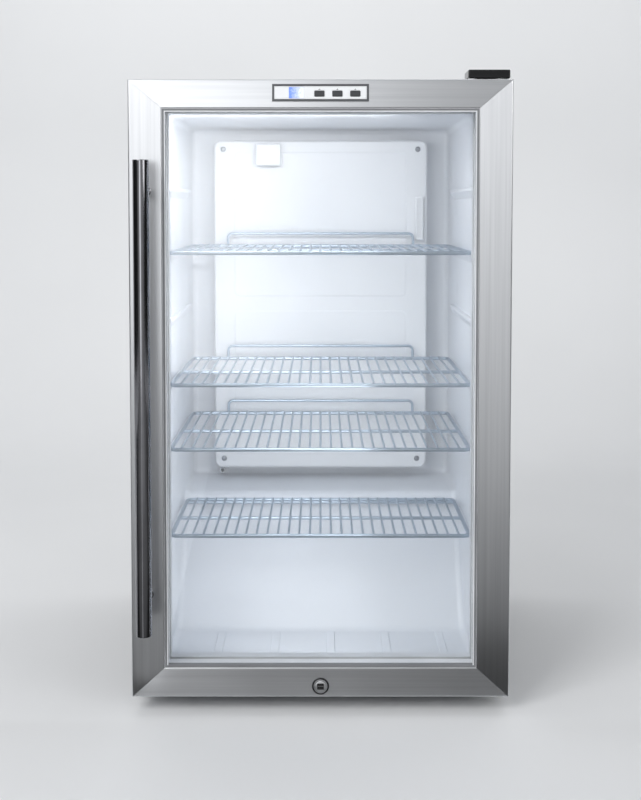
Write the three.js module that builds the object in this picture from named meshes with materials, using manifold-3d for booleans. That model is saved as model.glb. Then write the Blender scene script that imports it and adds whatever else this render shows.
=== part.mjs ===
// Counter-height reach in refrigerator with one glass door, modelled in millimetres.
// Frame: +X to the right of someone facing the door, +Y to the back, +Z up.
// Origin: bottom centre of the whole object's box. Every depth below is measured backwards
// from the front face of the door and turned into Y by the function y().
import * as THREE from "three";
import { mergeVertices } from "three/addons/utils/BufferGeometryUtils.js";
import Module from "manifold-3d";

const wasm = await Module();
wasm.setup();

// ---------------------------------------------------------------- driving dimensions
const WIDTH = 483;
const HALF = WIDTH / 2;
const HANDLE_REACH = 55; // how far the handle stands in front of the door
const CASE_BACK = 495; // depth of the rear face, from the door's front face
const DOOR_LOW = 22;
const DOOR_HIGH = 809;
const DOOR_THICK = 45;
const CASE_FRONT = 55;
const CASE_LOW = 20;
const CASE_HIGH = 811;
const SHEET = 1.2; // steel sheet of the case and the door
const GAP = 0.3; // clearance kept between neighbouring pieces

// Inside of the white liner.
const LINER = 2;
const ROOM_HALF = 206.5;
const ROOM_LOW = 42;
const ROOM_HIGH = 773;
const ROOM_BACK = 437;
const ROOM_RADIUS = 12;
const SILL_HIGH = 51;
const SILL_DEPTH = 8;
const HUMP_TOP = 217;
const HUMP_EDGE = 305; // depth of the hump's front top edge
const HUMP_FOOT = 191; // depth where the hump's front meets the floor

// Door window.
const STEEL_SIDE = 41.9;
const STEEL_TOP = 35.8;
const STEEL_LOW = 38;
const VIEW_SIDE = 46.5;
const VIEW_TOP = 40.4;
const VIEW_LOW = 41.3;

// Shelves: height of the wire plane, depth of front and rear edge, and whether the rear has a rail.
const SHELF_FRONT = 86;
const SHELF_HALF = 203.5;
const SHELVES = [
  { height: 590, back: 384, rail: true },
  { height: 413, back: 384, rail: true },
  { height: 326, back: 384, rail: true },
  { height: 209, back: 296, rail: false },
];
const WIRE = 3.2; // shelf wires
const ROD = 5; // shelf frames
const WIRE_COUNT = 27;
const RAIL_HIGH = 20;
const RAIL_HALF = 145;
const GUIDES = [326, 413, 501.5, 590, 678.5]; // shelf levels moulded into the side walls
const GUIDE_OUT = 6;
const GUIDE_HIGH = 9;

const HINGE_X = HALF - 14;
const HINGE_DEPTH = 22;
const HINGE_PLATE_BACK = 80;
const PIN_R = 4;
const LOCK_Z = 36.6;
const FOOT_X = 200;
const FOOT_DEPTHS = [95, 455];
const STEM_TOP = 35;

// ---------------------------------------------------------------- small helpers
const y = (depth) => depth - (CASE_BACK - HANDLE_REACH) / 2;

function solidOf(geometry) {
  const plain = geometry.index ? geometry.toNonIndexed() : geometry.clone();
  plain.deleteAttribute("normal");
  plain.deleteAttribute("uv");
  const merged = mergeVertices(plain, 1e-4);
  return new wasm.Manifold(
    new wasm.Mesh({
      numProp: 3,
      vertProperties: new Float32Array(merged.attributes.position.array),
      triVerts: new Uint32Array(merged.index.array),
    }),
  );
}

function geometryOf(solid) {
  const mesh = solid.getMesh();
  const geometry = new THREE.BufferGeometry();
  geometry.setAttribute("position", new THREE.BufferAttribute(mesh.vertProperties, 3));
  geometry.setIndex(new THREE.BufferAttribute(mesh.triVerts, 1));
  return geometry;
}

const add = (...solids) => solids.reduce((all, one) => all.add(one));
const cut = (base, ...tools) => tools.reduce((left, tool) => left.subtract(tool), base);

// A box between two depths and two heights; x, depth and height ranges as [low, high].
function box(xs, depths, zs) {
  const geometry = new THREE.BoxGeometry(xs[1] - xs[0], depths[1] - depths[0], zs[1] - zs[0]);
  geometry.translate((xs[0] + xs[1]) / 2, y((depths[0] + depths[1]) / 2), (zs[0] + zs[1]) / 2);
  return solidOf(geometry);
}

// A round bar along one axis between two positions on it.
function bar(axis, radius, [low, high], [a, b], sides = 16) {
  const geometry = new THREE.CylinderGeometry(radius, radius, high - low, sides);
  const middle = (low + high) / 2;
  if (axis === "x") {
    geometry.rotateZ(Math.PI / 2);
    geometry.translate(middle, y(a), b);
  } else if (axis === "y") {
    geometry.translate(a, y(middle), b);
  } else {
    geometry.rotateX(Math.PI / 2);
    geometry.translate(a, y(b), middle);
  }
  return solidOf(geometry);
}

// A closed turned body about a vertical or front-to-back axis; points are [radius, place along axis].
function turned(points, sides = 20) {
  return new THREE.LatheGeometry(
    points.map(([r, along]) => new THREE.Vector2(r, along)),
    sides,
  );
}

// A rectangle with round corners in the front view, extruded between two depths.
function roundBlock(xs, depths, zs, radius, steps = 4) {
  const shape = new THREE.Shape();
  const [x0, x1] = xs;
  const [z0, z1] = zs;
  shape.moveTo(x0 + radius, z0);
  shape.lineTo(x1 - radius, z0);
  shape.absarc(x1 - radius, z0 + radius, radius, -Math.PI / 2, 0, false);
  shape.absarc(x1 - radius, z1 - radius, radius, 0, Math.PI / 2, false);
  shape.absarc(x0 + radius, z1 - radius, radius, Math.PI / 2, Math.PI, false);
  shape.absarc(x0 + radius, z0 + radius, radius, Math.PI, Math.PI * 1.5, false);
  const geometry = new THREE.ExtrudeGeometry(shape, {
    depth: depths[1] - depths[0],
    bevelEnabled: false,
    curveSegments: steps,
  });
  geometry.rotateX(Math.PI / 2);
  geometry.translate(0, y(depths[1]), 0);
  return solidOf(geometry);
}

// An outline in the side view, as [depth, height] points, extruded across X.
function sidePrism(points, [x0, x1]) {
  const shape = new THREE.Shape(points.map(([depth, z]) => new THREE.Vector2(y(depth), z)));
  const geometry = new THREE.ExtrudeGeometry(shape, { depth: x1 - x0, bevelEnabled: false });
  geometry.rotateZ(Math.PI / 2);
  geometry.rotateY(Math.PI / 2);
  geometry.translate(x0, 0, 0);
  return solidOf(geometry);
}

// An outline in the plan view, as [x, depth] points, extruded upwards.
function planPrism(points, [z0, z1]) {
  const shape = new THREE.Shape(points.map(([x, depth]) => new THREE.Vector2(x, y(depth))));
  const geometry = new THREE.ExtrudeGeometry(shape, { depth: z1 - z0, bevelEnabled: false });
  geometry.translate(0, 0, z0);
  return solidOf(geometry);
}

// An outline in the front view, as [x, z] points, extruded between two depths.
function frontPrism(points, [d0, d1]) {
  const shape = new THREE.Shape(points.map(([x, z]) => new THREE.Vector2(x, z)));
  const geometry = new THREE.ExtrudeGeometry(shape, { depth: d1 - d0, bevelEnabled: false });
  geometry.rotateX(Math.PI / 2);
  geometry.translate(0, y(d1), 0);
  return solidOf(geometry);
}

// A round tube along a list of [x, depth, z] points with rounded bends.
function tube(points, radius, bend, steps, sides = 10) {
  const at = points.map(([x, depth, z]) => new THREE.Vector3(x, y(depth), z));
  const path = new THREE.CurvePath();
  let from = at[0];
  for (let i = 1; i < at.length - 1; i += 1) {
    const before = at[i].clone().lerp(at[i - 1], bend / at[i].distanceTo(at[i - 1]));
    const after = at[i].clone().lerp(at[i + 1], bend / at[i].distanceTo(at[i + 1]));
    path.add(new THREE.LineCurve3(from, before));
    path.add(new THREE.QuadraticBezierCurve3(before, at[i], after));
    from = after;
  }
  path.add(new THREE.LineCurve3(from, at[at.length - 1]));
  const section = new THREE.Shape();
  section.absarc(0, 0, radius, 0, Math.PI * 2, false);
  return new THREE.ExtrudeGeometry(section, {
    steps,
    bevelEnabled: false,
    curveSegments: sides / 2,
    extrudePath: path,
  });
}

// ---------------------------------------------------------------- materials
const paint = (color, roughness, metalness) =>
  new THREE.MeshStandardMaterial({ color, roughness, metalness });
const MATERIALS = {
  brushed: paint(0xb9bcc0, 0.35, 0.95),
  polished: paint(0xd5d8dc, 0.15, 1.0),
  caseBlack: paint(0x16171a, 0.4, 0.3),
  blackPlastic: paint(0x131416, 0.3, 0.0),
  greyPlastic: paint(0x4a4d52, 0.5, 0.0),
  liner: paint(0xe9eef4, 0.35, 0.0),
  whitePlastic: paint(0xeef1f4, 0.4, 0.0),
  glass: paint(0xdfeaf0, 0.05, 0.0),
  gasket: paint(0x6f7378, 0.8, 0.0),
  wire: paint(0xc4c8cd, 0.25, 0.9),
  foam: paint(0xe0cf9a, 0.9, 0.0),
  copper: paint(0xb87352, 0.3, 0.95),
  aluminium: paint(0xc7cacd, 0.4, 0.9),
  compressor: paint(0x1a1b1d, 0.45, 0.4),
  zinc: paint(0xaeb1b0, 0.4, 0.9),
  board: paint(0x1f5a38, 0.5, 0.0),
  display: paint(0x7d86d8, 0.15, 0.0),
  button: paint(0x3f4349, 0.5, 0.0),
  rubber: paint(0x1d1d1f, 0.8, 0.0),
};

const refrigerator = new THREE.Group();

function put(name, shape, material) {
  const geometry = shape.isBufferGeometry ? shape : geometryOf(shape);
  const mesh = new THREE.Mesh(geometry, MATERIALS[material]);
  mesh.name = name;
  refrigerator.add(mesh);
  return mesh;
}

// ---------------------------------------------------------------- case: outer steel panels
const RETURN_IN = ROOM_HALF + LINER + GAP; // inner edge of the front returns

function sidePanel(side) {
  const outline = [
    [HALF, CASE_FRONT],
    [HALF, CASE_BACK - SHEET - GAP],
    [HALF - SHEET, CASE_BACK - SHEET - GAP],
    [HALF - SHEET, CASE_FRONT + SHEET],
    [RETURN_IN, CASE_FRONT + SHEET],
    [RETURN_IN, CASE_FRONT],
  ];
  return planPrism(
    outline.map(([x, depth]) => [x * side, depth]),
    [CASE_LOW + SHEET + GAP, CASE_HIGH - SHEET - GAP],
  );
}
put("side_panel_left", sidePanel(-1), "caseBlack");
put("side_panel_right", sidePanel(1), "caseBlack");

const BETWEEN = [-RETURN_IN + GAP, RETURN_IN - GAP];
put(
  "top_panel",
  add(
    box([-HALF, HALF], [CASE_FRONT, CASE_BACK], [CASE_HIGH - SHEET, CASE_HIGH]),
    box(BETWEEN, [CASE_FRONT, CASE_FRONT + SHEET], [ROOM_HIGH + LINER + GAP, CASE_HIGH]),
  ),
  "caseBlack",
);

const BAY_TOP = 188;
put(
  "back_panel",
  box([-HALF, HALF], [CASE_BACK - SHEET, CASE_BACK], [BAY_TOP + GAP, CASE_HIGH - SHEET - GAP]),
  "caseBlack",
);

const STEM_R = 4;
const footPlaces = [];
for (const depth of FOOT_DEPTHS) {
  for (const x of [-FOOT_X, FOOT_X]) {
    footPlaces.push([x, depth]);
  }
}
const stemHoles = footPlaces.map(([x, depth]) =>
  bar("z", STEM_R + 0.6, [CASE_LOW - 5, CASE_LOW + 10], [x, depth], 12),
);
const LOCK_SLOT = [-24, 8]; // sideways room for the lock's tail and cam
put(
  "base_plate",
  cut(
    add(
      box([-HALF, HALF], [CASE_FRONT, CASE_BACK], [CASE_LOW, CASE_LOW + SHEET]),
      box(BETWEEN, [CASE_FRONT, CASE_FRONT + SHEET], [CASE_LOW, SILL_HIGH - LINER - GAP]),
    ),
    box([LOCK_SLOT[0] - 8, LOCK_SLOT[1] + 8], [50, 60], [CASE_LOW + SHEET, SILL_HIGH]),
    ...stemHoles,
  ),
  "caseBlack",
);

// Louvred cover over the machine bay: a sheet with rows of slots.
const louvres = [];
const LOUVRE_ROWS = 9;
for (let row = 0; row < LOUVRE_ROWS; row += 1) {
  const z = CASE_LOW + 22 + row * 15.5;
  for (const x of [-112, 112]) {
    louvres.push(box([x - 98, x + 98], [480, 500], [z, z + 6]));
  }
}
put(
  "rear_grille",
  cut(
    box(
      [-HALF, HALF],
      [CASE_BACK - SHEET, CASE_BACK],
      [CASE_LOW + SHEET + GAP, BAY_TOP],
    ),
    ...louvres,
  ),
  "caseBlack",
);

// ---------------------------------------------------------------- case: liner and foam
// The hump over the machine bay, as the liner's side outline grown by a margin.
function humpOutline(margin) {
  return [
    [HUMP_FOOT - margin, ROOM_LOW - 30],
    [HUMP_FOOT - margin, ROOM_LOW],
    [HUMP_EDGE - margin, HUMP_TOP + margin],
    [ROOM_BACK + 40, HUMP_TOP + margin],
    [ROOM_BACK + 40, ROOM_LOW - 30],
  ];
}

function room(margin, front) {
  const full = roundBlock(
    [-ROOM_HALF - margin, ROOM_HALF + margin],
    [front, ROOM_BACK + margin],
    [ROOM_LOW - margin, ROOM_HIGH + margin],
    ROOM_RADIUS,
  );
  const sill = box(
    [-ROOM_HALF - 20, ROOM_HALF + 20],
    [front - 5, CASE_FRONT + SILL_DEPTH - margin],
    [ROOM_LOW - 30, SILL_HIGH - margin],
  );
  return cut(full, sidePrism(humpOutline(-margin), [-ROOM_HALF - 20, ROOM_HALF + 20]), sill);
}

function guides() {
  const all = [];
  for (const side of [-1, 1]) {
    for (const level of GUIDES) {
      const top = level - WIRE / 2 - GAP - 1;
      all.push(guide(side, top, [CASE_FRONT + 22, ROOM_BACK - 50]));
    }
    const low = SHELVES[3].height - WIRE / 2 - GAP - 1;
    all.push(guide(side, low, [CASE_FRONT + 22, HUMP_EDGE - 22]));
  }
  return all;
}

// A ledge on a side wall: flat on top, sloped below.
function guide(side, top, [d0, d1]) {
  const wall = side * (ROOM_HALF + 1);
  const tip = side * (ROOM_HALF - GUIDE_OUT);
  return frontPrism(
    [
      [wall, top],
      [tip, top],
      [tip, top - GUIDE_HIGH / 2],
      [wall, top - GUIDE_HIGH * 1.5],
    ],
    [d0, d1],
  );
}

const DRAIN_X = -158;
const DRAIN_Z = 225.5;
const drainHole = bar("y", 5, [ROOM_BACK - 5, ROOM_BACK + 60], [DRAIN_X, DRAIN_Z], 12);
put(
  "inner_liner",
  add(cut(room(LINER, CASE_FRONT), room(0, CASE_FRONT - 5), drainHole), ...guides()),
  "liner",
);

const BAY_FRONT_LOW = 232;
const BAY_FRONT_HIGH = 335;
const bay = sidePrism(
  [
    [BAY_FRONT_LOW, CASE_LOW - 5],
    [BAY_FRONT_HIGH, BAY_TOP],
    [CASE_BACK + 10, BAY_TOP],
    [CASE_BACK + 10, CASE_LOW - 5],
  ],
  [-HALF - 5, HALF + 5],
);
const stemPockets = footPlaces
  .filter(([, depth]) => depth < BAY_FRONT_LOW)
  .map(([x, depth]) => bar("z", STEM_R + 1.5, [CASE_LOW - 5, STEM_TOP + 0.8], [x, depth], 12));
put(
  "foam_insulation",
  cut(
    box(
      [-HALF + SHEET + GAP, HALF - SHEET - GAP],
      [CASE_FRONT + SHEET + GAP, CASE_BACK - SHEET - GAP],
      [CASE_LOW + SHEET + GAP, CASE_HIGH - SHEET - GAP],
    ),
    room(LINER + GAP, CASE_FRONT - 5),
    bay,
    box([LOCK_SLOT[0] - 7.5, LOCK_SLOT[1] + 7.5], [50, 70], [CASE_LOW - 5, SILL_HIGH]),
    bar("y", 6.5, [ROOM_BACK - 5, CASE_BACK - 20], [DRAIN_X, DRAIN_Z], 12),
    box([DRAIN_X - 7, DRAIN_X + 7], [462, 500], [170, 240]),
    ...stemPockets,
  ),
  "foam",
);

// ---------------------------------------------------------------- case: inside the cold room
const COVER_FRONT = 392;
const COVER_HALF = 168;
const COVER_LOW = 235;
const COVER_HIGH = 754;
const COVER_WALL = 2;
const coverOuter = roundBlock(
  [-COVER_HALF, COVER_HALF],
  [COVER_FRONT, ROOM_BACK - GAP],
  [COVER_LOW, COVER_HIGH],
  11,
);
const coverInner = roundBlock(
  [-COVER_HALF + COVER_WALL, COVER_HALF - COVER_WALL],
  [COVER_FRONT + COVER_WALL, ROOM_BACK + 5],
  [COVER_LOW + COVER_WALL, COVER_HIGH - COVER_WALL],
  9,
);
const screwPlaces = [
  [COVER_HALF - 15, COVER_HIGH - 14],
  [-COVER_HALF + 15, COVER_HIGH - 14],
  [COVER_HALF - 15, COVER_LOW + 15],
  [-COVER_HALF + 15, COVER_LOW + 15],
];
const screwHoles = screwPlaces.map(([x, z]) => bar("y", 2.3, [385, 400], [x, z], 10));
const airSlots = [];
for (let i = -2; i <= 2; i += 1) {
  for (const z of [COVER_LOW, COVER_HIGH]) {
    airSlots.push(box([i * 56 - 22, i * 56 + 22], [402, 428], [z - 5, z + 5]));
  }
}
put(
  "evaporator_cover",
  cut(coverOuter, coverInner, ...screwHoles, ...airSlots),
  "whitePlastic",
);
screwPlaces.forEach(([x, z], i) => {
  const screw = turned([
    [0, 0],
    [4.2, 1.2],
    [4.2, 2.2],
    [1.9, 2.2],
    [1.9, 14],
    [0, 14],
  ], 8);
  screw.translate(x, y(COVER_FRONT) - 2.5, z);
  put(`cover_screw_${i + 1}`, screw, "zinc");
});

// Finned evaporator: a block of fins joined by its tubes.
const fins = [box([-126, 126], [408, 424], [350, 358]), box([-126, 126], [408, 424], [440, 448])];
for (let i = 0; i < 13; i += 1) {
  const x = -126 + i * 21;
  fins.push(box([x - 1, x + 1], [400, 432], [318, 482]));
}
put("evaporator_coil", add(...fins), "aluminium");

const FAN_Z = 600;
put(
  "fan_motor",
  add(
    bar("y", 19, [418, 436.5], [0, FAN_Z], 20),
    box([-48, 48], [430, 436.5], [FAN_Z - 5, FAN_Z + 5]),
    box([-5, 5], [430, 436.5], [FAN_Z - 48, FAN_Z + 48]),
  ),
  "blackPlastic",
);
const blades = [bar("y", 11, [404, 417.4], [0, FAN_Z], 20)];
const BLADE_COUNT = 5;
for (let i = 0; i < BLADE_COUNT; i += 1) {
  const blade = new THREE.BoxGeometry(40, 2, 26);
  blade.rotateX(0.45);
  blade.translate(29, 0, 0);
  blade.rotateY((i * Math.PI * 2) / BLADE_COUNT);
  blade.translate(0, y(411), FAN_Z);
  blades.push(solidOf(blade));
}
put("fan_blade", add(...blades), "greyPlastic");

put(
  "lamp_housing",
  cut(
    roundBlock([-101, -62], [372, COVER_FRONT - GAP], [714, 748], 3, 2),
    box([-97, -66], [376, 388], [711, 723]),
  ),
  "whitePlastic",
);
put(
  "sensor_guard",
  cut(
    roundBlock([149, 162], [384, COVER_FRONT - GAP], [597, 666], 3, 2),
    box([151, 160], [387, 398], [601, 662]),
    ...[0, 1, 2, 3, 4].map((i) => box([152.5, 158.5], [380, 390], [606 + i * 11, 611 + i * 11])),
  ),
  "whitePlastic",
);

const drain = cut(
  add(
    bar("y", 4.4, [415, 470], [DRAIN_X, DRAIN_Z], 12),
    box([DRAIN_X - 9, DRAIN_X + 9], [ROOM_BACK - 4, ROOM_BACK - GAP], [218, 232]),
    bar("z", 4.4, [165, 229], [DRAIN_X, 470], 12),
  ),
  bar("y", 3, [400, 468], [DRAIN_X, DRAIN_Z], 12),
  bar("z", 3, [150, 227], [DRAIN_X, 470], 12),
);
put("drain_tube", drain, "whitePlastic");

// ---------------------------------------------------------------- case: machine bay
const DECK = CASE_LOW + SHEET + GAP;
const COMPRESSOR = [110, 405];
const shell = turned(
  [
    [0, 0],
    [46, 0],
    [56, 8],
    [58, 40],
    [58, 62],
    [60, 64],
    [57, 95],
    [48, 116],
    [28, 126],
    [0, 128],
  ],
  16,
);
shell.rotateX(Math.PI / 2);
shell.translate(COMPRESSOR[0], y(COMPRESSOR[1]), DECK + 12);
put(
  "compressor",
  add(
    solidOf(shell),
    box(
      [COMPRESSOR[0] - 75, COMPRESSOR[0] + 75],
      [COMPRESSOR[1] - 50, COMPRESSOR[1] + 50],
      [DECK + 8, DECK + 12.5],
    ),
    ...[-1, 1].flatMap((sx) =>
      [-1, 1].map((sy) =>
        bar("z", 9, [DECK, DECK + 9], [COMPRESSOR[0] + sx * 64, COMPRESSOR[1] + sy * 40], 12),
      ),
    ),
    box([COMPRESSOR[0] - 22, COMPRESSOR[0] + 22], [COMPRESSOR[1] + 50, COMPRESSOR[1] + 78],
      [DECK + 40, DECK + 88]),
  ),
  "compressor",
);

put(
  "drain_pan",
  cut(
    box([-180, -60], [345, 444], [DECK, DECK + 26]),
    box([-178, -62], [347, 442], [DECK + 2, DECK + 40]),
  ),
  "blackPlastic",
);

// Condenser: a wire-on-tube panel standing in the left of the bay.
const condenserBars = [];
for (let i = 0; i < 4; i += 1) {
  const z = DECK + 44 + i * 32;
  condenserBars.push(box([-200, 20], [452, 458], [z, z + 6]));
}
for (let i = 0; i < 11; i += 1) {
  const x = -196 + i * 21;
  condenserBars.push(box([x - 1, x + 1], [450, 460], [DECK + 38, DECK + 152]));
}
put("condenser_coil", add(...condenserBars), "compressor");

put(
  "drier_line",
  tube(
    [
      [28, 455, DECK + 47],
      [40, 455, DECK + 47],
      [40, 380, DECK + 47],
      [-20, 352, DECK + 47],
      [-20, 352, DECK + 130],
    ],
    3,
    8,
    26,
    6,
  ),
  "copper",
);
put(
  "suction_pipe",
  tube(
    [
      [COMPRESSOR[0] + 70, COMPRESSOR[1] - 10, DECK + 55],
      [COMPRESSOR[0] + 92, COMPRESSOR[1] - 10, DECK + 55],
      [COMPRESSOR[0] + 92, COMPRESSOR[1] - 10, DECK + 150],
      [COMPRESSOR[0] + 20, COMPRESSOR[1] - 30, DECK + 150],
    ],
    4,
    12,
    22,
    6,
  ),
  "copper",
);
put(
  "power_inlet",
  cut(
    roundBlock([196, 226], [470, CASE_BACK - SHEET - GAP], [DECK + 120, DECK + 144], 3, 2),
    roundBlock([200, 222], [480, 500], [DECK + 124, DECK + 140], 2, 2),
  ),
  "blackPlastic",
);

// ---------------------------------------------------------------- feet
const footProfile = [
  [0, 0],
  [15, 0],
  [17, 2],
  [17, 7],
  [11, 11],
  [11, 17],
  [STEM_R, 17],
  [STEM_R, STEM_TOP],
  [0, STEM_TOP],
];
footPlaces.forEach(([x, depth], i) => {
  const foot = turned(footProfile, 12);
  foot.rotateX(Math.PI / 2);
  foot.translate(x, y(depth), 0);
  put(`foot_${i + 1}`, foot, "rubber");
});

// ---------------------------------------------------------------- shelves
// Each shelf is wires from front to back over a frame, all joined where they cross.
function shelf({ height, back, rail }) {
  const half = SHELF_HALF;
  const under = [height - WIRE / 2 - ROD + 1, height - WIRE / 2 + 0.6];
  const top = [height - WIRE / 2, height + WIRE / 2];
  const parts = [
    box([-half, half], [SHELF_FRONT, SHELF_FRONT + ROD], [top[0] - 1, top[0] + ROD - 1]),
    box([-half, half], [back - ROD, back], [top[0] - 1, top[0] + ROD - 1]),
    box([-half + 6, half - 6], [(SHELF_FRONT + back) / 2 - 2, (SHELF_FRONT + back) / 2 + 2], under),
  ];
  for (const side of [-1, 1]) {
    const xs = [side * half, side * (half - ROD)].sort((a, b) => a - b);
    parts.push(box(xs, [SHELF_FRONT, back], [top[0] - 1, top[0] + ROD - 1]));
  }
  const pitch = (2 * half - ROD) / (WIRE_COUNT + 1);
  for (let i = 1; i <= WIRE_COUNT; i += 1) {
    const x = -half + ROD / 2 + i * pitch;
    parts.push(box([x - WIRE / 2, x + WIRE / 2], [SHELF_FRONT + 1, back - 1], top));
  }
  if (rail) {
    const crest = height + RAIL_HIGH;
    const depths = [back - ROD, back - ROD + 4];
    parts.push(box([-RAIL_HALF, RAIL_HALF], depths, [crest - 4, crest]));
    for (const side of [-1, 1]) {
      const xs = [side * RAIL_HALF, side * (RAIL_HALF - 4)].sort((a, b) => a - b);
      parts.push(box(xs, depths, [height - 2, crest]));
    }
  }
  return add(...parts);
}
SHELVES.forEach((one, i) => put(`shelf_${i + 1}`, shelf(one), "wire"));

// ---------------------------------------------------------------- door: mitred steel members
// Each member is a channel: a front skin, an outer skin and a short inner return, cut at 45-degree
// style mitres that run from the door's corner to the corner of the inner edge.
const INNER = {
  x: HALF - STEEL_SIDE,
  low: DOOR_LOW + STEEL_LOW,
  high: DOOR_HIGH - STEEL_TOP,
};
const SKIN_BACK = 43;
const LIP_BACK = 3.4;

function doorSkin() {
  const outer = box([-HALF, HALF], [0, SKIN_BACK], [DOOR_LOW, DOOR_HIGH]);
  const hollow = cut(
    box(
      [-HALF + SHEET, HALF - SHEET],
      [SHEET, SKIN_BACK + 5],
      [DOOR_LOW + SHEET, DOOR_HIGH - SHEET],
    ),
    cut(
      box(
        [-INNER.x - SHEET, INNER.x + SHEET],
        [-1, LIP_BACK],
        [INNER.low - SHEET, INNER.high + SHEET],
      ),
      box([-INNER.x, INNER.x], [-2, LIP_BACK + 1], [INNER.low, INNER.high]),
    ),
  );
  const window = box([-INNER.x, INNER.x], [-5, 60], [INNER.low, INNER.high]);
  return cut(outer, hollow, window);
}

// The wedge of the front view that one member keeps; seam is half of the gap at the mitre.
function wedge(which) {
  const seam = 0.12;
  const past = -0.7; // how far the wedge runs outside the corner, as a share of the mitre
  const beyond = 1.02; // and how far it runs past the inner corner
  const corner = (sx, sz) => ({
    out: [sx * HALF, sz > 0 ? DOOR_HIGH : DOOR_LOW],
    in: [sx * INNER.x, sz > 0 ? INNER.high : INNER.low],
  });
  const reach = ({ out, in: inside }, t) => [
    out[0] + (inside[0] - out[0]) * t,
    out[1] + (inside[1] - out[1]) * t,
  ];
  const shift = ([x, z], dx, dz) => [x + dx, z + dz];
  if (which === "left" || which === "right") {
    const s = which === "left" ? -1 : 1;
    const top = corner(s, 1);
    const low = corner(s, -1);
    return [
      shift(reach(low, past), 0, seam),
      shift(reach(low, beyond), 0, seam),
      shift(reach(top, beyond), 0, -seam),
      shift(reach(top, past), 0, -seam),
    ];
  }
  const sz = which === "top" ? 1 : -1;
  const a = corner(-1, sz);
  const b = corner(1, sz);
  return [
    shift(reach(a, past), 0, sz * seam),
    shift(reach(a, beyond), 0, sz * seam),
    shift(reach(b, beyond), 0, sz * seam),
    shift(reach(b, past), 0, sz * seam),
  ];
}

function doorMember(which) {
  return doorSkin().intersect(frontPrism(wedge(which), [-5, 70]));
}

const PANEL_Z = DOOR_HIGH - 17;
const panelHole = box([-58.5, 58.5], [-5, 5], [PANEL_Z - 8.8, PANEL_Z + 8.8]);
const lockHole = bar("y", 9.4, [-5, 30], [0, LOCK_Z], 24);
const PIN_HOLE_R = 6.6; // room for the hinge bushes
const topPinHole = bar("z", PIN_HOLE_R, [DOOR_HIGH - 5, DOOR_HIGH + 5], [HINGE_X, HINGE_DEPTH]);
const lowPinHole = bar("z", PIN_HOLE_R, [DOOR_LOW - 5, DOOR_LOW + 5], [HINGE_X, HINGE_DEPTH]);
const handleEnds = [118, 707];
const HANDLE_X = -219;

put("door_stile_left", doorMember("left"), "brushed");
put("door_stile_right", doorMember("right"), "brushed");
put("door_rail_top", cut(doorMember("top"), panelHole, topPinHole), "brushed");
put("door_rail_bottom", cut(doorMember("bottom"), lockHole, lowPinHole), "brushed");

// Inner plastic frame that holds the glass and fills the channels.
const GLASS_FRONT = 6;
const GLASS_BACK = 30;
const GLASS_OVER = 10; // how far the glass runs under the frame
const VIEW = { x: HALF - VIEW_SIDE, low: DOOR_LOW + VIEW_LOW, high: DOOR_HIGH - VIEW_TOP };
const viewBox = (grow, depths) =>
  box(
    [-VIEW.x - grow, VIEW.x + grow],
    depths,
    [VIEW.low - grow, VIEW.high + grow],
  );
const CORE_EDGE = SHEET + GAP;
put(
  "window_frame",
  cut(
    box(
      [-HALF + CORE_EDGE, HALF - CORE_EDGE],
      [0.6, DOOR_THICK],
      [DOOR_LOW + CORE_EDGE, DOOR_HIGH - CORE_EDGE],
    ),
    cut(
      box([-HALF, HALF], [-5, SHEET + GAP], [DOOR_LOW, DOOR_HIGH]),
      box([-INNER.x + GAP, INNER.x - GAP], [-6, 6], [INNER.low + GAP, INNER.high - GAP]),
    ),
    cut(
      box(
        [-INNER.x - SHEET - GAP, INNER.x + SHEET + GAP],
        [-5, LIP_BACK + GAP],
        [INNER.low - SHEET - GAP, INNER.high + SHEET + GAP],
      ),
      box(
        [-INNER.x + GAP, INNER.x - GAP],
        [-6, 6],
        [INNER.low + GAP, INNER.high - GAP],
      ),
    ),
    viewBox(0, [-5, 60]),
    viewBox(GLASS_OVER + GAP, [GLASS_FRONT - GAP, GLASS_BACK + GAP]),
    box([-59, 59], [-5, 18], [PANEL_Z - 9.2, PANEL_Z + 9.2]),
    bar("y", 9.8, [-5, 60], [0, LOCK_Z], 24),
    bar("z", PIN_HOLE_R + GAP, [DOOR_HIGH - 22, DOOR_HIGH + 5], [HINGE_X, HINGE_DEPTH]),
    bar("z", PIN_HOLE_R + GAP, [DOOR_LOW - 5, DOOR_LOW + 22], [HINGE_X, HINGE_DEPTH]),
  ),
  "greyPlastic",
);

const PANE = 4;
const paneAt = (depths) => viewBox(GLASS_OVER, depths);
put("glass_outer", paneAt([GLASS_FRONT, GLASS_FRONT + PANE]), "glass");
put("glass_inner", paneAt([GLASS_BACK - PANE, GLASS_BACK]), "glass");
const spacerDepths = [GLASS_FRONT + PANE + GAP, GLASS_BACK - PANE - GAP];
put(
  "glass_spacer",
  cut(viewBox(GLASS_OVER - 2, spacerDepths), viewBox(GLASS_OVER - 9, [0, 60])),
  "aluminium",
);

// Magnetic door seal against the front returns of the case.
const SEAL_SIDE = 16.5;
const SEAL_WIDE = 12;
const SEAL_LOW = 41.6;
const SEAL_LOW_WIDE = 9;
const sealBack = CASE_FRONT - 0.4;
put(
  "door_gasket",
  cut(
    box(
      [-HALF + SEAL_SIDE, HALF - SEAL_SIDE],
      [DOOR_THICK + GAP, sealBack],
      [SEAL_LOW, DOOR_HIGH - SEAL_SIDE],
    ),
    box(
      [-HALF + SEAL_SIDE + SEAL_WIDE, HALF - SEAL_SIDE - SEAL_WIDE],
      [0, 80],
      [SEAL_LOW + SEAL_LOW_WIDE, DOOR_HIGH - SEAL_SIDE - SEAL_WIDE],
    ),
  ),
  "gasket",
);

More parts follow.
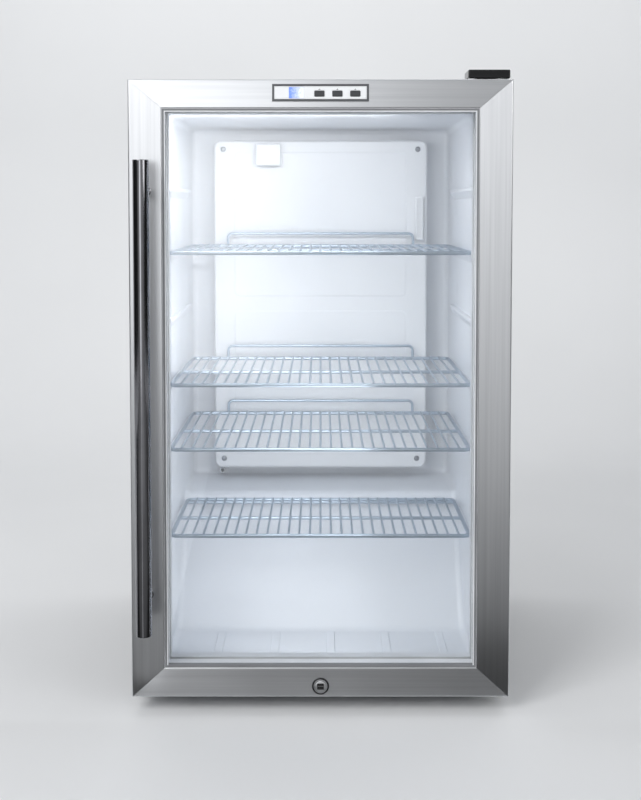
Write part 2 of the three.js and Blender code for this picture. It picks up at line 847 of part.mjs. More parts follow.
// ---------------------------------------------------------------- door: handle
const HANDLE_R = 10;
const POST_R = 6;
const POST_INSET = 38; // from the bar's end to the middle of each post
const barDepth = -HANDLE_REACH + HANDLE_R;
const posts = [handleEnds[0] + POST_INSET, handleEnds[1] - POST_INSET].map((z) =>
  bar("y", POST_R, [barDepth, -GAP], [HANDLE_X, z], 16),
);
put(
  "door_handle",
  add(bar("z", HANDLE_R, handleEnds, [HANDLE_X, barDepth], 24), ...posts),
  "polished",
);

// ---------------------------------------------------------------- door: control panel
const BEZEL = [60.5, 10.8];
put(
  "control_bezel",
  cut(
    roundBlock([-BEZEL[0], BEZEL[0]], [-2.5, -GAP], [PANEL_Z - BEZEL[1], PANEL_Z + BEZEL[1]], 2, 3),
    box([-58, 58], [-10, 10], [PANEL_Z - 8.3, PANEL_Z + 8.3]),
  ),
  "greyPlastic",
);
const BUTTON_Z = PANEL_Z - 1.2;
const BUTTON_XS = [-1.3, 21.1, 43.5];
const buttonHoles = BUTTON_XS.map((x) =>
  box([x - 6.7, x + 6.7], [-10, 20], [BUTTON_Z - 4, BUTTON_Z + 4]),
);
const DISPLAY_X = -30.1;
put(
  "control_panel",
  cut(
    box([-57.7, 57.7], [-1.6, 3], [PANEL_Z - 8, PANEL_Z + 8]),
    ...buttonHoles,
    box([DISPLAY_X - 9.6, DISPLAY_X + 9.6], [-10, 0.4], [PANEL_Z - 7.2, PANEL_Z + 7.2]),
  ),
  "whitePlastic",
);
put(
  "display_lens",
  box([DISPLAY_X - 9.2, DISPLAY_X + 9.2], [-1.9, 0.1], [PANEL_Z - 6.8, PANEL_Z + 6.8]),
  "display",
);
BUTTON_XS.forEach((x, i) => {
  put(
    `button_${i + 1}`,
    roundBlock([x - 6.3, x + 6.3], [-2.7, 4], [BUTTON_Z - 3.6, BUTTON_Z + 3.6], 1.2, 2),
    "button",
  );
});
put(
  "controller_board",
  box([-56, 56], [6.5, 8.1], [PANEL_Z - 7.5, PANEL_Z + 7.5]),
  "board",
);

// ---------------------------------------------------------------- door: lock
const lockBody = turned(
  [
    [7.6, -2.4],
    [10.4, -2.4],
    [11, -1.6],
    [11, -GAP],
    [9, -GAP],
    [9, DOOR_THICK - 2],
    [7.6, DOOR_THICK - 2],
    [7.6, -2.4],
  ],
  24,
);
lockBody.translate(0, y(0), LOCK_Z);
put("lock_body", lockBody, "polished");
const plug = turned(
  [
    [0, -3],
    [6.6, -3],
    [7.2, -2.4],
    [7.2, DOOR_THICK - 1],
    [3, DOOR_THICK - 1],
    [3, 59.6],
    [0, 59.6],
  ],
  24,
);
plug.translate(0, y(0), LOCK_Z);
put(
  "lock_plug",
  cut(solidOf(plug), box([-4.4, 4.4], [-5, 8], [LOCK_Z - 1, LOCK_Z + 1])),
  "polished",
);
put(
  "lock_cam",
  roundBlock([-14.5, 3], [59.9, 62.4], [LOCK_Z - 3, LOCK_Z + 3], 2.8, 2),
  "zinc",
);
put(
  "lock_keeper",
  cut(
    box([LOCK_SLOT[0] - 7, LOCK_SLOT[1] + 7], [54.4, 57], [CASE_LOW + SHEET + 1.6, 40.8]),
    box(LOCK_SLOT, [50, 60], [31, 45]),
  ),
  "zinc",
);

// ---------------------------------------------------------------- hinges
const PLATE = 3;
const TOP_PLATE = [CASE_HIGH + GAP, CASE_HIGH + GAP + PLATE];
const LOW_PLATE = [CASE_LOW - GAP - PLATE, CASE_LOW - GAP];
const hingeOutline = [
  [HALF - 4, HINGE_PLATE_BACK],
  [HALF - 50, HINGE_PLATE_BACK],
  [HALF - 50, CASE_FRONT + 5],
  [HINGE_X - 12, HINGE_DEPTH],
  [HINGE_X - 8, HINGE_DEPTH - 9],
  [HINGE_X, HINGE_DEPTH - 11],
  [HINGE_X + 8, HINGE_DEPTH - 9],
  [HALF - 4, HINGE_DEPTH],
];
put(
  "hinge_bracket_top",
  cut(
    planPrism(hingeOutline, TOP_PLATE),
    bar("z", PIN_R + 0.3, [CASE_HIGH - 5, CASE_HIGH + 10], [HINGE_X, HINGE_DEPTH]),
  ),
  "zinc",
);
const topPin = turned(
  [
    [0, DOOR_HIGH - 18],
    [PIN_R, DOOR_HIGH - 17],
    [PIN_R, TOP_PLATE[1] + GAP],
    [6, TOP_PLATE[1] + GAP],
    [6, TOP_PLATE[1] + 2.4],
    [0, TOP_PLATE[1] + 2.4],
  ],
  16,
);
topPin.rotateX(Math.PI / 2);
topPin.translate(HINGE_X, y(HINGE_DEPTH), 0);
put("hinge_pin_top", topPin, "zinc");
put(
  "hinge_bracket_bottom",
  add(
    planPrism(hingeOutline, LOW_PLATE),
    bar("z", PIN_R, [LOW_PLATE[0] + 1, DOOR_LOW + 16], [HINGE_X, HINGE_DEPTH]),
  ),
  "zinc",
);

function bush(low, high) {
  const ring = turned(
    [
      [PIN_R + 0.35, low],
      [PIN_HOLE_R - 0.3, low],
      [PIN_HOLE_R - 0.3, high],
      [PIN_R + 0.35, high],
      [PIN_R + 0.35, low],
    ],
    16,
  );
  ring.rotateX(Math.PI / 2);
  ring.translate(HINGE_X, y(HINGE_DEPTH), 0);
  return ring;
}
put("hinge_bush_top", bush(DOOR_HIGH - 20, DOOR_HIGH + 0.6), "whitePlastic");
put("hinge_bush_bottom", bush(DOOR_LOW - 0.6, DOOR_LOW + 20), "whitePlastic");

// Cover over the top hinge: a shell open at the bottom.
const CAP = { x: [HALF - 55.5, HALF - 2.6], depth: [10, 52], top: 822 };
put(
  "hinge_cap",
  cut(
    box(CAP.x, CAP.depth, [CASE_HIGH + GAP, CAP.top]),
    box(
      [CAP.x[0] + 1.2, CAP.x[1] - 1.1],
      [CAP.depth[0] + 0.8, CAP.depth[1] - 2],
      [CASE_HIGH - 5, CAP.top - 2],
    ),
    box(
      [CAP.x[0] + 1.2, CAP.x[1] - 1.1],
      [CAP.depth[1] - 5, CAP.depth[1] + 5],
      [CASE_HIGH - 5, CASE_HIGH + 4],
    ),
  ),
  "blackPlastic",
);

export default refrigerator;
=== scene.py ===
"""Counter-height reach in refrigerator with a glass door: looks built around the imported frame.

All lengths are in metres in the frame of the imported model: +X right, +Y back, +Z up.
"""
import math

import bmesh
import bpy
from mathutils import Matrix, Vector


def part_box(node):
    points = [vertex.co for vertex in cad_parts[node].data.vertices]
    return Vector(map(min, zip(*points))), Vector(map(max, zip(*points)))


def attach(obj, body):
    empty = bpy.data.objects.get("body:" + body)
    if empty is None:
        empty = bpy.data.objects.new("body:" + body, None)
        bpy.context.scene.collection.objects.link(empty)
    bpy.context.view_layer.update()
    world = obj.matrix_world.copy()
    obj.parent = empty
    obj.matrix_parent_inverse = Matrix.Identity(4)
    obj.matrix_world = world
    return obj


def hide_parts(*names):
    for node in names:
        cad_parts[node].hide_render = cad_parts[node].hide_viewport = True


MM = 0.001

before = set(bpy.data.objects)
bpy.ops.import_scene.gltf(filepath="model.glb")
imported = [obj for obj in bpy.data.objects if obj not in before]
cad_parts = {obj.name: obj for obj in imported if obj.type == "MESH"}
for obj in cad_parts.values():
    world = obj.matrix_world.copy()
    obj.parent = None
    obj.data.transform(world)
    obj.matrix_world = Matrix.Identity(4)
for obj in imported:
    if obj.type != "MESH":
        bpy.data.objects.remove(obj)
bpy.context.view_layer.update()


# ---- places taken from the frame
def span(*nodes):
    """The box round several CAD nodes."""
    boxes = [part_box(n) for n in nodes]
    low = Vector([min(b[0][i] for b in boxes) for i in range(3)])
    high = Vector([max(b[1][i] for b in boxes) for i in range(3)])
    return low, high


DOOR_LO, DOOR_HI = span("door_stile_left", "door_stile_right", "door_rail_top", "door_rail_bottom")
DOOR_FRONT = DOOR_LO.y
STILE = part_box("door_stile_left")[1].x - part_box("door_stile_left")[0].x
RAIL_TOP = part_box("door_rail_top")[1].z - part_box("door_rail_top")[0].z
RAIL_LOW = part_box("door_rail_bottom")[1].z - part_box("door_rail_bottom")[0].z
STEEL_BACK = DOOR_HI.y
SHEET = 1.2 * MM
ROOM_LO, ROOM_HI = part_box("inner_liner")
LINER = 2 * MM


# ---- mesh helpers
def smoothed(obj, smooth=35):
    """Shades an object smooth except at edges sharper than the angle given."""
    for face in obj.data.polygons:
        face.use_smooth = True
    obj.data.set_sharp_from_angle(angle=math.radians(smooth))
    return obj


def obj_from(name, bm, smooth=35):
    """A mesh object from a bmesh, shaded smooth except at edges sharper than the angle given."""
    bmesh.ops.recalc_face_normals(bm, faces=bm.faces)
    mesh = bpy.data.meshes.new(name)
    bm.to_mesh(mesh)
    bm.free()
    obj = bpy.data.objects.new(name, mesh)
    bpy.context.scene.collection.objects.link(obj)
    return smoothed(obj, smooth)


def piece(obj, body, slot, material, *nodes):
    """Gives a piece its material and its body, and says which CAD nodes it stands for. The slot argument is
    not used.
    """
    obj.data.materials.clear()
    obj.data.materials.append(material)
    # large faces keep flat normals beside their small rounded edges
    weights = obj.modifiers.new("weights", "WEIGHTED_NORMAL")
    weights.keep_sharp = True
    weights.weight = 90
    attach(obj, body)
    if nodes:
        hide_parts(*nodes)
    return obj


def baked(obj, smooth=35):
    """Applies an object's modifiers by taking its evaluated mesh."""
    bpy.context.view_layer.update()
    graph = bpy.context.evaluated_depsgraph_get()
    mesh = bpy.data.meshes.new_from_object(obj.evaluated_get(graph))
    obj.modifiers.clear()
    obj.data = mesh
    return smoothed(obj, smooth)


def cut_with(obj, *tools):
    """Cuts the tools out of an object and removes them."""
    for tool in tools:
        mod = obj.modifiers.new("cut", "BOOLEAN")
        mod.operation = "DIFFERENCE"
        mod.solver = "EXACT"
        mod.object = tool
    baked(obj)
    for tool in tools:
        bpy.data.objects.remove(tool)
    return obj


def joined(name, *objs):
    """One object from several, in their order."""
    bm = bmesh.new()
    for o in objs:
        bm.from_mesh(o.data)
        bpy.data.objects.remove(o)
    mesh = bpy.data.meshes.new(name)
    bm.to_mesh(mesh)
    bm.free()
    obj = bpy.data.objects.new(name, mesh)
    bpy.context.scene.collection.objects.link(obj)
    return obj


def block(name, lo, hi, radius, segments=3, only=None, smooth=35):
    """A box with rounded edges. only picks the edges to round, by their direction axis."""
    bm = bmesh.new()
    bmesh.ops.create_cube(bm, size=1)
    size = Vector(hi) - Vector(lo)
    bmesh.ops.scale(bm, vec=size, verts=bm.verts)
    bmesh.ops.translate(bm, vec=(Vector(hi) + Vector(lo)) / 2, verts=bm.verts)
    edges = bm.edges[:]
    if only is not None:
        edges = [e for e in edges if abs((e.verts[0].co - e.verts[1].co).normalized()[only]) > 0.9]
    if radius:
        bmesh.ops.bevel(bm, geom=edges, offset=radius, segments=segments, affect="EDGES", profile=0.5)
    return obj_from(name, bm, smooth)


def mm(*values):
    """Values given in millimetres, in metres."""
    return tuple(v * MM for v in values)


def in_mm(*points):
    """A list of points given in millimetres, in metres."""
    return [mm(*point) for point in points]


def arc(centre, radius, start, end, steps):
    """Points on an arc in a plane, with angles in degrees."""
    out = []
    for i in range(steps + 1):
        a = math.radians(start + (end - start) * i / steps)
        out.append((centre[0] + radius * math.cos(a), centre[1] + radius * math.sin(a)))
    return out


def lofted(loops, closed=False, open_start=False):
    """A bmesh skin over loops of points, closed end to end or capped (not at an open start)."""
    bm = bmesh.new()
    rows = [[bm.verts.new(p) for p in loop] for loop in loops]
    pairs = list(zip(rows, rows[1:]))
    if closed:
        pairs.append((rows[-1], rows[0]))
    for a, b in pairs:
        n = len(a)
        for i in range(n):
            bm.faces.new((a[i], a[(i + 1) % n], b[(i + 1) % n], b[i]))
    if not closed:
        if not open_start:
            bm.faces.new(rows[0][::-1])
        bm.faces.new(rows[-1])
    return bm


def loft(name, loops, closed=False, smooth=35):
    """An object made of a lofted skin."""
    return obj_from(name, lofted(loops, closed), smooth)


def ring(name, lo, hi, section, smooth=35):
    """A mitred rectangular ring in the front view. The section is (offset inwards, y) points."""
    corners = [(lo.x, lo.z, 1, 1), (hi.x, lo.z, -1, 1), (hi.x, hi.z, -1, -1), (lo.x, hi.z, 1, -1)]
    loops = [[(x + sx * d, y, z + sz * d) for d, y in section] for x, z, sx, sz in corners]
    return loft(name, loops, closed=True, smooth=smooth)


def lathe(name, profile, axis, place, sides=48, smooth=35):
    """A body turned about an axis ('y' or 'z') through place; profile is (radius, along) points."""
    bm = bmesh.new()
    rows = []
    for r, along in profile:
        row = []
        if r < 1e-7:
            row = [bm.verts.new(turned_point(0, 0, along, axis, place))]
        else:
            for i in range(sides):
                a = 2 * math.pi * i / sides
                at = turned_point(r * math.cos(a), r * math.sin(a), along, axis, place)
                row.append(bm.verts.new(at))
        rows.append(row)
    for a, b in zip(rows, rows[1:]):
        for i in range(sides):
            j = (i + 1) % sides
            if len(a) == 1:
                bm.faces.new((a[0], b[j], b[i]))
            elif len(b) == 1:
                bm.faces.new((a[i], a[j], b[0]))
            else:
                bm.faces.new((a[i], a[j], b[j], b[i]))
    return obj_from(name, bm, smooth)


def turned_point(u, v, along, axis, place):
    """A point of a turned body: u and v across its axis, along it, moved to place."""
    if axis == "z":
        return (place[0] + u, place[1] + v, place[2] + along)
    return (place[0] + u, place[1] + along, place[2] + v)


def washer(name, profile, axis, place, sides=48):
    """A turned ring whose profile closes on itself."""
    loops = []
    for i in range(sides):
        a = 2 * math.pi * i / sides
        loops.append([
            turned_point(r * math.cos(a), r * math.sin(a), along, axis, place) for r, along in profile
        ])
    return loft(name, loops, closed=True)


def rounded_path(points, bend, steps=8):
    """Points of a polyline whose inner corners are replaced by arcs of the bend radius."""
    pts = [Vector(p) for p in points]
    out = [pts[0]]
    for before, corner, after in zip(pts, pts[1:], pts[2:]):
        a = (before - corner).normalized()
        b = (after - corner).normalized()
        half = a.angle(b) / 2
        reach = bend / math.tan(half)
        centre = corner + (a + b).normalized() * (bend / math.sin(half))
        start = corner + a * reach - centre
        end = corner + b * reach - centre
        turn = start.angle(end)
        for i in range(steps + 1):
            t = i / steps
            mixed = start * math.sin((1 - t) * turn) + end * math.sin(t * turn)
            out.append(centre + mixed / math.sin(turn))
    out.append(pts[-1])
    return out


def sweep(name, path, radius, sides=16, smooth=50):
    """A round bar along a path, capped at both ends."""
    loops = []
    side = None
    for i, p in enumerate(path):
        ahead = path[min(i + 1, len(path) - 1)] - path[max(i - 1, 0)]
        ahead.normalize()
        if side is None:
            side = ahead.orthogonal().normalized()
        side = (side - ahead * side.dot(ahead)).normalized()
        other = ahead.cross(side)
        loop = []
        for k in range(sides):
            a = 2 * math.pi * k / sides
            loop.append(p + (side * math.cos(a) + other * math.sin(a)) * radius)
        loops.append(loop)
    return loft(name, loops, smooth=smooth)


def rod(name, points, radius, bend=0, sides=12):
    """A round bar through points, with its corners rounded to the bend radius if one is given."""
    path = rounded_path(points, bend) if bend else [Vector(p) for p in points]
    return sweep(name, path, radius, sides)


# ---- materials
class Look:
    """A node material with one Principled shader and helpers for procedural detail."""

    def __init__(self, name, color, roughness, metallic=0.0, **more):
        self.material = bpy.data.materials.new(name)
        self.material.use_nodes = True
        self.tree = self.material.node_tree
        self.shader = self.tree.nodes["Principled BSDF"]
        self.shader.inputs["Base Color"].default_value = (*color, 1)
        self.shader.inputs["Roughness"].default_value = roughness
        self.shader.inputs["Metallic"].default_value = metallic
        for key, value in more.items():
            self.shader.inputs[key.replace("_", " ")].default_value = value
        self.coords = self.node("ShaderNodeTexCoord").outputs["Object"]

    def node(self, kind, **settings):
        made = self.tree.nodes.new(kind)
        for key, value in settings.items():
            setattr(made, key, value)
        return made

    def link(self, a, b):
        self.tree.links.new(a, b)

    def noise(self, scale, stretch=(1, 1, 1), detail=4.0, rough=0.55):
        """Noise in the frame's metres; stretch multiplies the scale along each axis."""
        mapping = self.node("ShaderNodeMapping")
        mapping.inputs["Scale"].default_value = stretch
        texture = self.node("ShaderNodeTexNoise")
        texture.inputs["Scale"].default_value = scale
        texture.inputs["Detail"].default_value = detail
        texture.inputs["Roughness"].default_value = rough
        self.link(self.coords, mapping.inputs["Vector"])
        self.link(mapping.outputs["Vector"], texture.inputs["Vector"])
        return texture.outputs["Fac"]

    def ranged(self, value, low, high, start=0.3, end=0.7):
        """Maps a value from start..end to low..high."""
        remap = self.node("ShaderNodeMapRange")
        remap.inputs["From Min"].default_value = start
        remap.inputs["From Max"].default_value = end
        remap.inputs["To Min"].default_value = low
        remap.inputs["To Max"].default_value = high
        self.link(value, remap.inputs["Value"])
        return remap.outputs["Result"]

    def tint(self, value, dark, light):
        """Drives the base colour between two colours."""
        ramp = self.node("ShaderNodeValToRGB")
        ramp.color_ramp.elements[0].position = 0.3
        ramp.color_ramp.elements[1].position = 0.7
        ramp.color_ramp.elements[0].color = (*dark, 1)
        ramp.color_ramp.elements[1].color = (*light, 1)
        self.link(value, ramp.inputs["Fac"])
        self.link(ramp.outputs["Color"], self.shader.inputs["Base Color"])
        return ramp.outputs["Color"]

    def bump(self, value, height, strength=1.0):
        """Adds fine relief; a second call stacks on the first."""
        made = self.node("ShaderNodeBump")
        made.inputs["Distance"].default_value = height
        made.inputs["Strength"].default_value = strength
        self.link(value, made.inputs["Height"])
        before = self.shader.inputs["Normal"]
        if before.is_linked:
            self.link(before.links[0].from_socket, made.inputs["Normal"])
        self.link(made.outputs["Normal"], self.shader.inputs["Normal"])

    def roughness(self, value, low, high):
        self.link(self.ranged(value, low, high), self.shader.inputs["Roughness"])


def brushed(name, along):
    """Brushed stainless steel; along is the axis that the brush lines run on."""
    look = Look(name, (0.62, 0.63, 0.65), 0.3, 1.0, Anisotropic=0.7)
    lines = [1.0, 1.0, 1.0]
    lines[along] = 0.012
    fine = look.noise(2600, lines, 3.0, 0.7)
    broad = look.noise(260, lines, 2.0)
    cloud = look.noise(9, (1, 1, 1), 2.0)
    look.tint(broad, (0.68, 0.69, 0.71), (0.76, 0.77, 0.79))
    look.roughness(look_mix(look, fine, cloud), 0.32, 0.38)
    look.bump(fine, 0.005 * MM, 0.4)
    tangent = look.node("ShaderNodeTangent", direction_type="RADIAL", axis="X" if along == 0 else "Z")
    look.link(tangent.outputs["Tangent"], look.shader.inputs["Tangent"])
    return look.material


def look_mix(look, a, b):
    """The mean of two values."""
    mean = look.node("ShaderNodeMath", operation="MULTIPLY_ADD")
    half = look.node("ShaderNodeMath", operation="MULTIPLY")
    half.inputs[1].default_value = 0.5
    look.link(b, half.inputs[0])
    look.link(a, mean.inputs[0])
    mean.inputs[1].default_value = 0.5
    look.link(half.outputs[0], mean.inputs[2])
    return mean.outputs[0]


def metal(name, color, low, high, grain=400, relief=0.01):
    """Metal with a mottled tint, and grain in its roughness and relief."""
    look = Look(name, color, (low + high) / 2, 1.0)
    cloud = look.noise(grain, (1, 1, 1), 4.0)
    look.tint(look.noise(40), tuple(c * 0.9 for c in color), tuple(min(1, c * 1.06) for c in color))
    look.roughness(cloud, low, high)
    look.bump(cloud, relief * MM, 0.4)
    return look.material


def plastic(name, color, low, high, grain=1500, relief=0.012, spread=0.06, **more):
    """Moulded plastic with a fine spark-eroded grain."""
    look = Look(name, color, (low + high) / 2, 0.0, **more)
    cloud = look.noise(grain, (1, 1, 1), 3.0)
    shade = look.noise(14, (1, 1, 1), 2.0)
    look.tint(shade, tuple(c * (1 - spread) for c in color), tuple(min(1, c * (1 + spread)) for c in color))
    look.roughness(look_mix(look, cloud, shade), low, high)
    look.bump(cloud, relief * MM, 0.5)
    return look.material


def powder_coat(name):
    """Fine textured black coating on sheet steel."""
    look = Look(name, (0.014, 0.014, 0.016), 0.42, 0.0, Coat_Weight=0.15, Coat_Roughness=0.35)
    grain = look.noise(1100, (1, 1, 1), 2.0, 0.5)
    cloud = look.noise(6, (1, 1, 1), 3.0)
    look.tint(cloud, (0.011, 0.011, 0.013), (0.019, 0.019, 0.021))
    look.roughness(look_mix(look, grain, cloud), 0.34, 0.5)
    look.bump(grain, 0.05 * MM, 0.6)
    return look.material


def black_chrome(name):
    """Black plated tube: a dark mirror with faint drawing lines along it."""
    look = Look(name, (0.25, 0.25, 0.265), 0.1, 1.0)
    fine = look.noise(900, (1.0, 1.0, 0.01), 2.0, 0.6)
    look.tint(look.noise(60), (0.235, 0.235, 0.25), (0.265, 0.265, 0.28))
    look.roughness(fine, 0.08, 0.14)
    look.bump(fine, 0.002 * MM, 0.3)
    return look.material


def clear_glass(name):
    """Float glass: light passes, and the surface mirrors more towards grazing angles."""
    look = Look(name, (1, 1, 1), 0.02)
    tree = look.tree
    clear = look.node("ShaderNodeBsdfTransparent")
    clear.inputs["Color"].default_value = (0.985, 0.989, 0.99, 1)
    gloss = look.node("ShaderNodeBsdfGlossy")
    gloss.inputs["Color"].default_value = (1, 1, 1, 1)
    look.link(look.ranged(look.noise(30), 0.012, 0.03), gloss.inputs["Roughness"])
    facing = look.node("ShaderNodeLayerWeight")
    facing.inputs["Blend"].default_value = 0.5
    steep = look.node("ShaderNodeMath", operation="POWER")
    look.link(facing.outputs["Facing"], steep.inputs[0])
    steep.inputs[1].default_value = 4.0
    mirror = look.node("ShaderNodeMath", operation="MULTIPLY_ADD")
    look.link(steep.outputs[0], mirror.inputs[0])
    mirror.inputs[1].default_value = 0.8
    mirror.inputs[2].default_value = 0.035
    mix = look.node("ShaderNodeMixShader")
    look.link(mirror.outputs[0], mix.inputs["Fac"])
    look.link(clear.outputs["BSDF"], mix.inputs[1])
    look.link(gloss.outputs["BSDF"], mix.inputs[2])
    tree.nodes.remove(look.shader)
    look.link(mix.outputs["Shader"], tree.nodes["Material Output"].inputs["Surface"])
    return look.material


def display_glow(name):
    """Backlit window: strong blue at its left end that fades to a pale tint, behind a gloss lens."""
    look = Look(name, (0.3, 0.4, 0.9), 0.12)
    split = look.node("ShaderNodeSeparateXYZ")
    look.link(look.coords, split.inputs["Vector"])
    lo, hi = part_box("display_lens")
    place = look.ranged(split.outputs["X"], 0, 1, lo.x, hi.x)
    shade = look.tint(look_mix(look, place, look.noise(400)), (0.16, 0.27, 0.86), (0.72, 0.77, 0.98))
    look.link(shade, look.shader.inputs["Emission Color"])
    look.shader.inputs["Emission Strength"].default_value = 0.35
    return look.material


BRUSHED_Z = brushed("steel_brushed_upright", 2)
BRUSHED_X = brushed("steel_brushed_across", 0)
ZINC = metal("zinc_plate", (0.60, 0.61, 0.60), 0.3, 0.45, 260, 0.02)
WIRE = metal("plated_wire", (0.48, 0.55, 0.63), 0.3, 0.42, 500, 0.006)
ALUMINIUM = metal("aluminium_satin", (0.86, 0.87, 0.88), 0.45, 0.6, 600, 0.01)
COPPER = metal("copper_tube", (0.72, 0.36, 0.22), 0.22, 0.4, 180, 0.01)
BLACK_TUBE = black_chrome("handle_black_chrome")
BLACK = plastic("black_plastic", (0.012, 0.012, 0.014), 0.25, 0.4)
GREY = plastic("grey_plastic", (0.17, 0.175, 0.185), 0.38, 0.52)
FRAME_GREY = plastic("frame_grey", (0.80, 0.81, 0.83), 0.4, 0.55)
BLACK_GLOSS = plastic("black_gloss", (0.006, 0.006, 0.007), 0.12, 0.2)
SATIN = metal("satin_steel", (0.84, 0.85, 0.87), 0.4, 0.55, 300, 0.004)
SCREW_GREY = metal("screw_grey", (0.30, 0.31, 0.33), 0.3, 0.45, 260, 0.02)
BEZEL_GREY = plastic("bezel_grey", (0.09, 0.093, 0.1), 0.3, 0.42)
WHITE = plastic("white_plastic", (0.82, 0.83, 0.845), 0.3, 0.42, 900, 0.01, 0.02)
LINER_WHITE = plastic("liner_white", (0.80, 0.82, 0.855), 0.26, 0.38, 700, 0.012, 0.02)
SEAL = plastic("seal_rubber", (0.72, 0.73, 0.75), 0.55, 0.7, 1200, 0.02)
RUBBER = plastic("black_rubber", (0.009, 0.009, 0.009), 0.7, 0.85, 900, 0.04)
BUTTON = plastic("button_grey", (0.035, 0.037, 0.042), 0.45, 0.6, 1500, 0.015)
INK = plastic("printed_grey", (0.06, 0.065, 0.075), 0.5, 0.6)
BOARD = plastic("circuit_board", (0.01, 0.09, 0.04), 0.35, 0.5)
FOAM = plastic("foam", (0.62, 0.52, 0.30), 0.8, 0.95, 500, 0.15, 0.1)
ENAMEL = plastic("black_enamel", (0.012, 0.012, 0.012), 0.3, 0.45, 300, 0.02)
CASE = powder_coat("case_black")
GLASS = clear_glass("door_glass")
DISPLAY = display_glow("display_blue")


# ---- door: steel members
def steel_section(width):
    """Outline of a channel member as (inwards, back) points, with rounded bends at the front."""
    back = STEEL_BACK - DOOR_FRONT
    bend = 2.2 * MM
    lip_bend = 1.1 * MM
    lip = 3.4 * MM
    outline = [(0, back)]
    outline += arc((bend, bend), bend, 180, 270, 6)
    outline += arc((width - lip_bend, lip_bend), lip_bend, 270, 360, 4)
    outline += [(width, lip), (width - SHEET, lip), (width - SHEET, SHEET), (bend, SHEET)]
    outline += [(SHEET, bend), (SHEET, back)]
    return outline


def steel_member(node, which, material):
    """A mitred member: its section runs between the two slanting mitre lines."""
    seam = 0.18 * MM
    loops = []
    if which in ("left", "right"):
        s = 1 if which == "left" else -1
        x0 = DOOR_LO.x if which == "left" else DOOR_HI.x
        for low in (True, False):
            loop = []
            for u, d in steel_section(STILE):
                z = DOOR_LO.z + u * RAIL_LOW / STILE + seam
                if not low:
                    z = DOOR_HI.z - u * RAIL_TOP / STILE - seam
                loop.append((x0 + s * u, DOOR_FRONT + d, z))
            loops.append(loop)
    else:
        height = RAIL_TOP if which == "top" else RAIL_LOW
        s = -1 if which == "top" else 1
        z0 = DOOR_HI.z if which == "top" else DOOR_LO.z
        for x0, sx in ((DOOR_LO.x, 1), (DOOR_HI.x, -1)):
            loop = []
            for u, d in steel_section(height):
                loop.append((x0 + sx * (u * STILE / height + seam), DOOR_FRONT + d, z0 + s * u))
            loops.append(loop)
    made = loft(node + "_steel", loops)
    return piece(made, "door", "brushed_steel", material, node)


# ---- door: frame, glass and seal
def glazing_bead():
    """Dark rounded bead between the steel and the glass, standing just proud of the glass."""
    lo = Vector((DOOR_LO.x + STILE, 0, DOOR_LO.z + RAIL_LOW))
    hi = Vector((DOOR_HI.x - STILE, 0, DOOR_HI.z - RAIL_TOP))
    front = DOOR_FRONT + 0.3 * MM
    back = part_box("glass_outer")[0].y - 0.2 * MM
    view_lo, _ = view_box()
    wide = view_lo.x - lo.x
    section = [(0.3 * MM, back), (0.3 * MM, front + 1 * MM)]
    section += arc((1.3 * MM, front + 1 * MM), 1 * MM, 180, 270, 3)
    section += arc((wide - 2.2 * MM, front + 2.2 * MM), 2.2 * MM, 270, 360, 5)
    section += [(wide, back)]
    made = ring("glazing_bead", lo, hi, section)
    return piece(made, "door", "grey_plastic", GREY)


def view_box():
    """The visible opening of the glass, from the CAD frame's opening."""
    glass_lo, glass_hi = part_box("glass_outer")
    over = 10 * MM
    return glass_lo + Vector((over, 0, over)), glass_hi - Vector((over, 0, over))


def pane(node):
    """A sheet of glass with eased edges."""
    lo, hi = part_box(node)
    made = block(node + "_pane", lo, hi, 0.5 * MM, 2)
    return piece(made, "door", "glass", GLASS, node)


def gasket():
    """Bellows seal: a foot in the door, a fold and a soft magnet pocket that meets the case."""
    lo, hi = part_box("door_gasket")
    front, back = lo.y, hi.y
    deep = back - front
    wide = 12 * MM
    section = [(1.5 * MM, front), (1.5 * MM, front + deep * 0.3), (3 * MM, front + deep * 0.42)]
    section += [(1.2 * MM, front + deep * 0.55)]
    section += arc((2 * MM, front + deep * 0.72), 1.9 * MM, 180, 90, 4)
    section += [(4 * MM, back)]
    section += [(wide - 3.2 * MM, back)]
    section += arc((wide - 2.6 * MM, front + deep * 0.72), 1.9 * MM, 90, 0, 4)
    section += [(wide - 1.5 * MM, front + deep * 0.5), (wide - 3 * MM, front + deep * 0.38)]
    section += [(wide - 2 * MM, front + deep * 0.28), (wide - 2 * MM, front)]
    made = ring("door_seal", Vector((lo.x, 0, lo.z)), Vector((hi.x, 0, hi.z)), section)
    return piece(made, "door", "seal_rubber", SEAL, "door_gasket")


# ---- door: handle
def handle():
    """A straight round bar with eased ends on two posts, each with a small collar on the door."""
    lo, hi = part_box("door_handle")
    radius = 10 * MM
    x = -219 * MM
    out = lo.y + radius
    ease = 0.9 * MM
    profile = [(0, lo.z)]
    profile += [(radius - ease + a, lo.z + ease + b) for a, b in arc((0, 0), ease, 270, 360, 4)]
    profile += [(radius - ease + a, hi.z - ease + b) for a, b in arc((0, 0), ease, 0, 90, 4)]
    profile.append((0, hi.z))
    parts = [lathe("bar", profile, "z", (x, out, 0), 64)]
    inset = 38 * MM
    for z in (lo.z + inset, hi.z - inset):
        foot_of = [(0, out - DOOR_FRONT), (5.6 * MM, out - DOOR_FRONT), mm(5.6, -1.6)]
        foot_of += [mm(6.4, -1.2), mm(6.4, -0.1), (0, -0.1 * MM)]
        parts.append(lathe("post", foot_of, "y", (x, DOOR_FRONT, z), 40))
    made = joined("handle_bar", *parts)
    smoothed(made)
    piece(made, "door", "black_plastic", BLACK_TUBE, "door_handle")


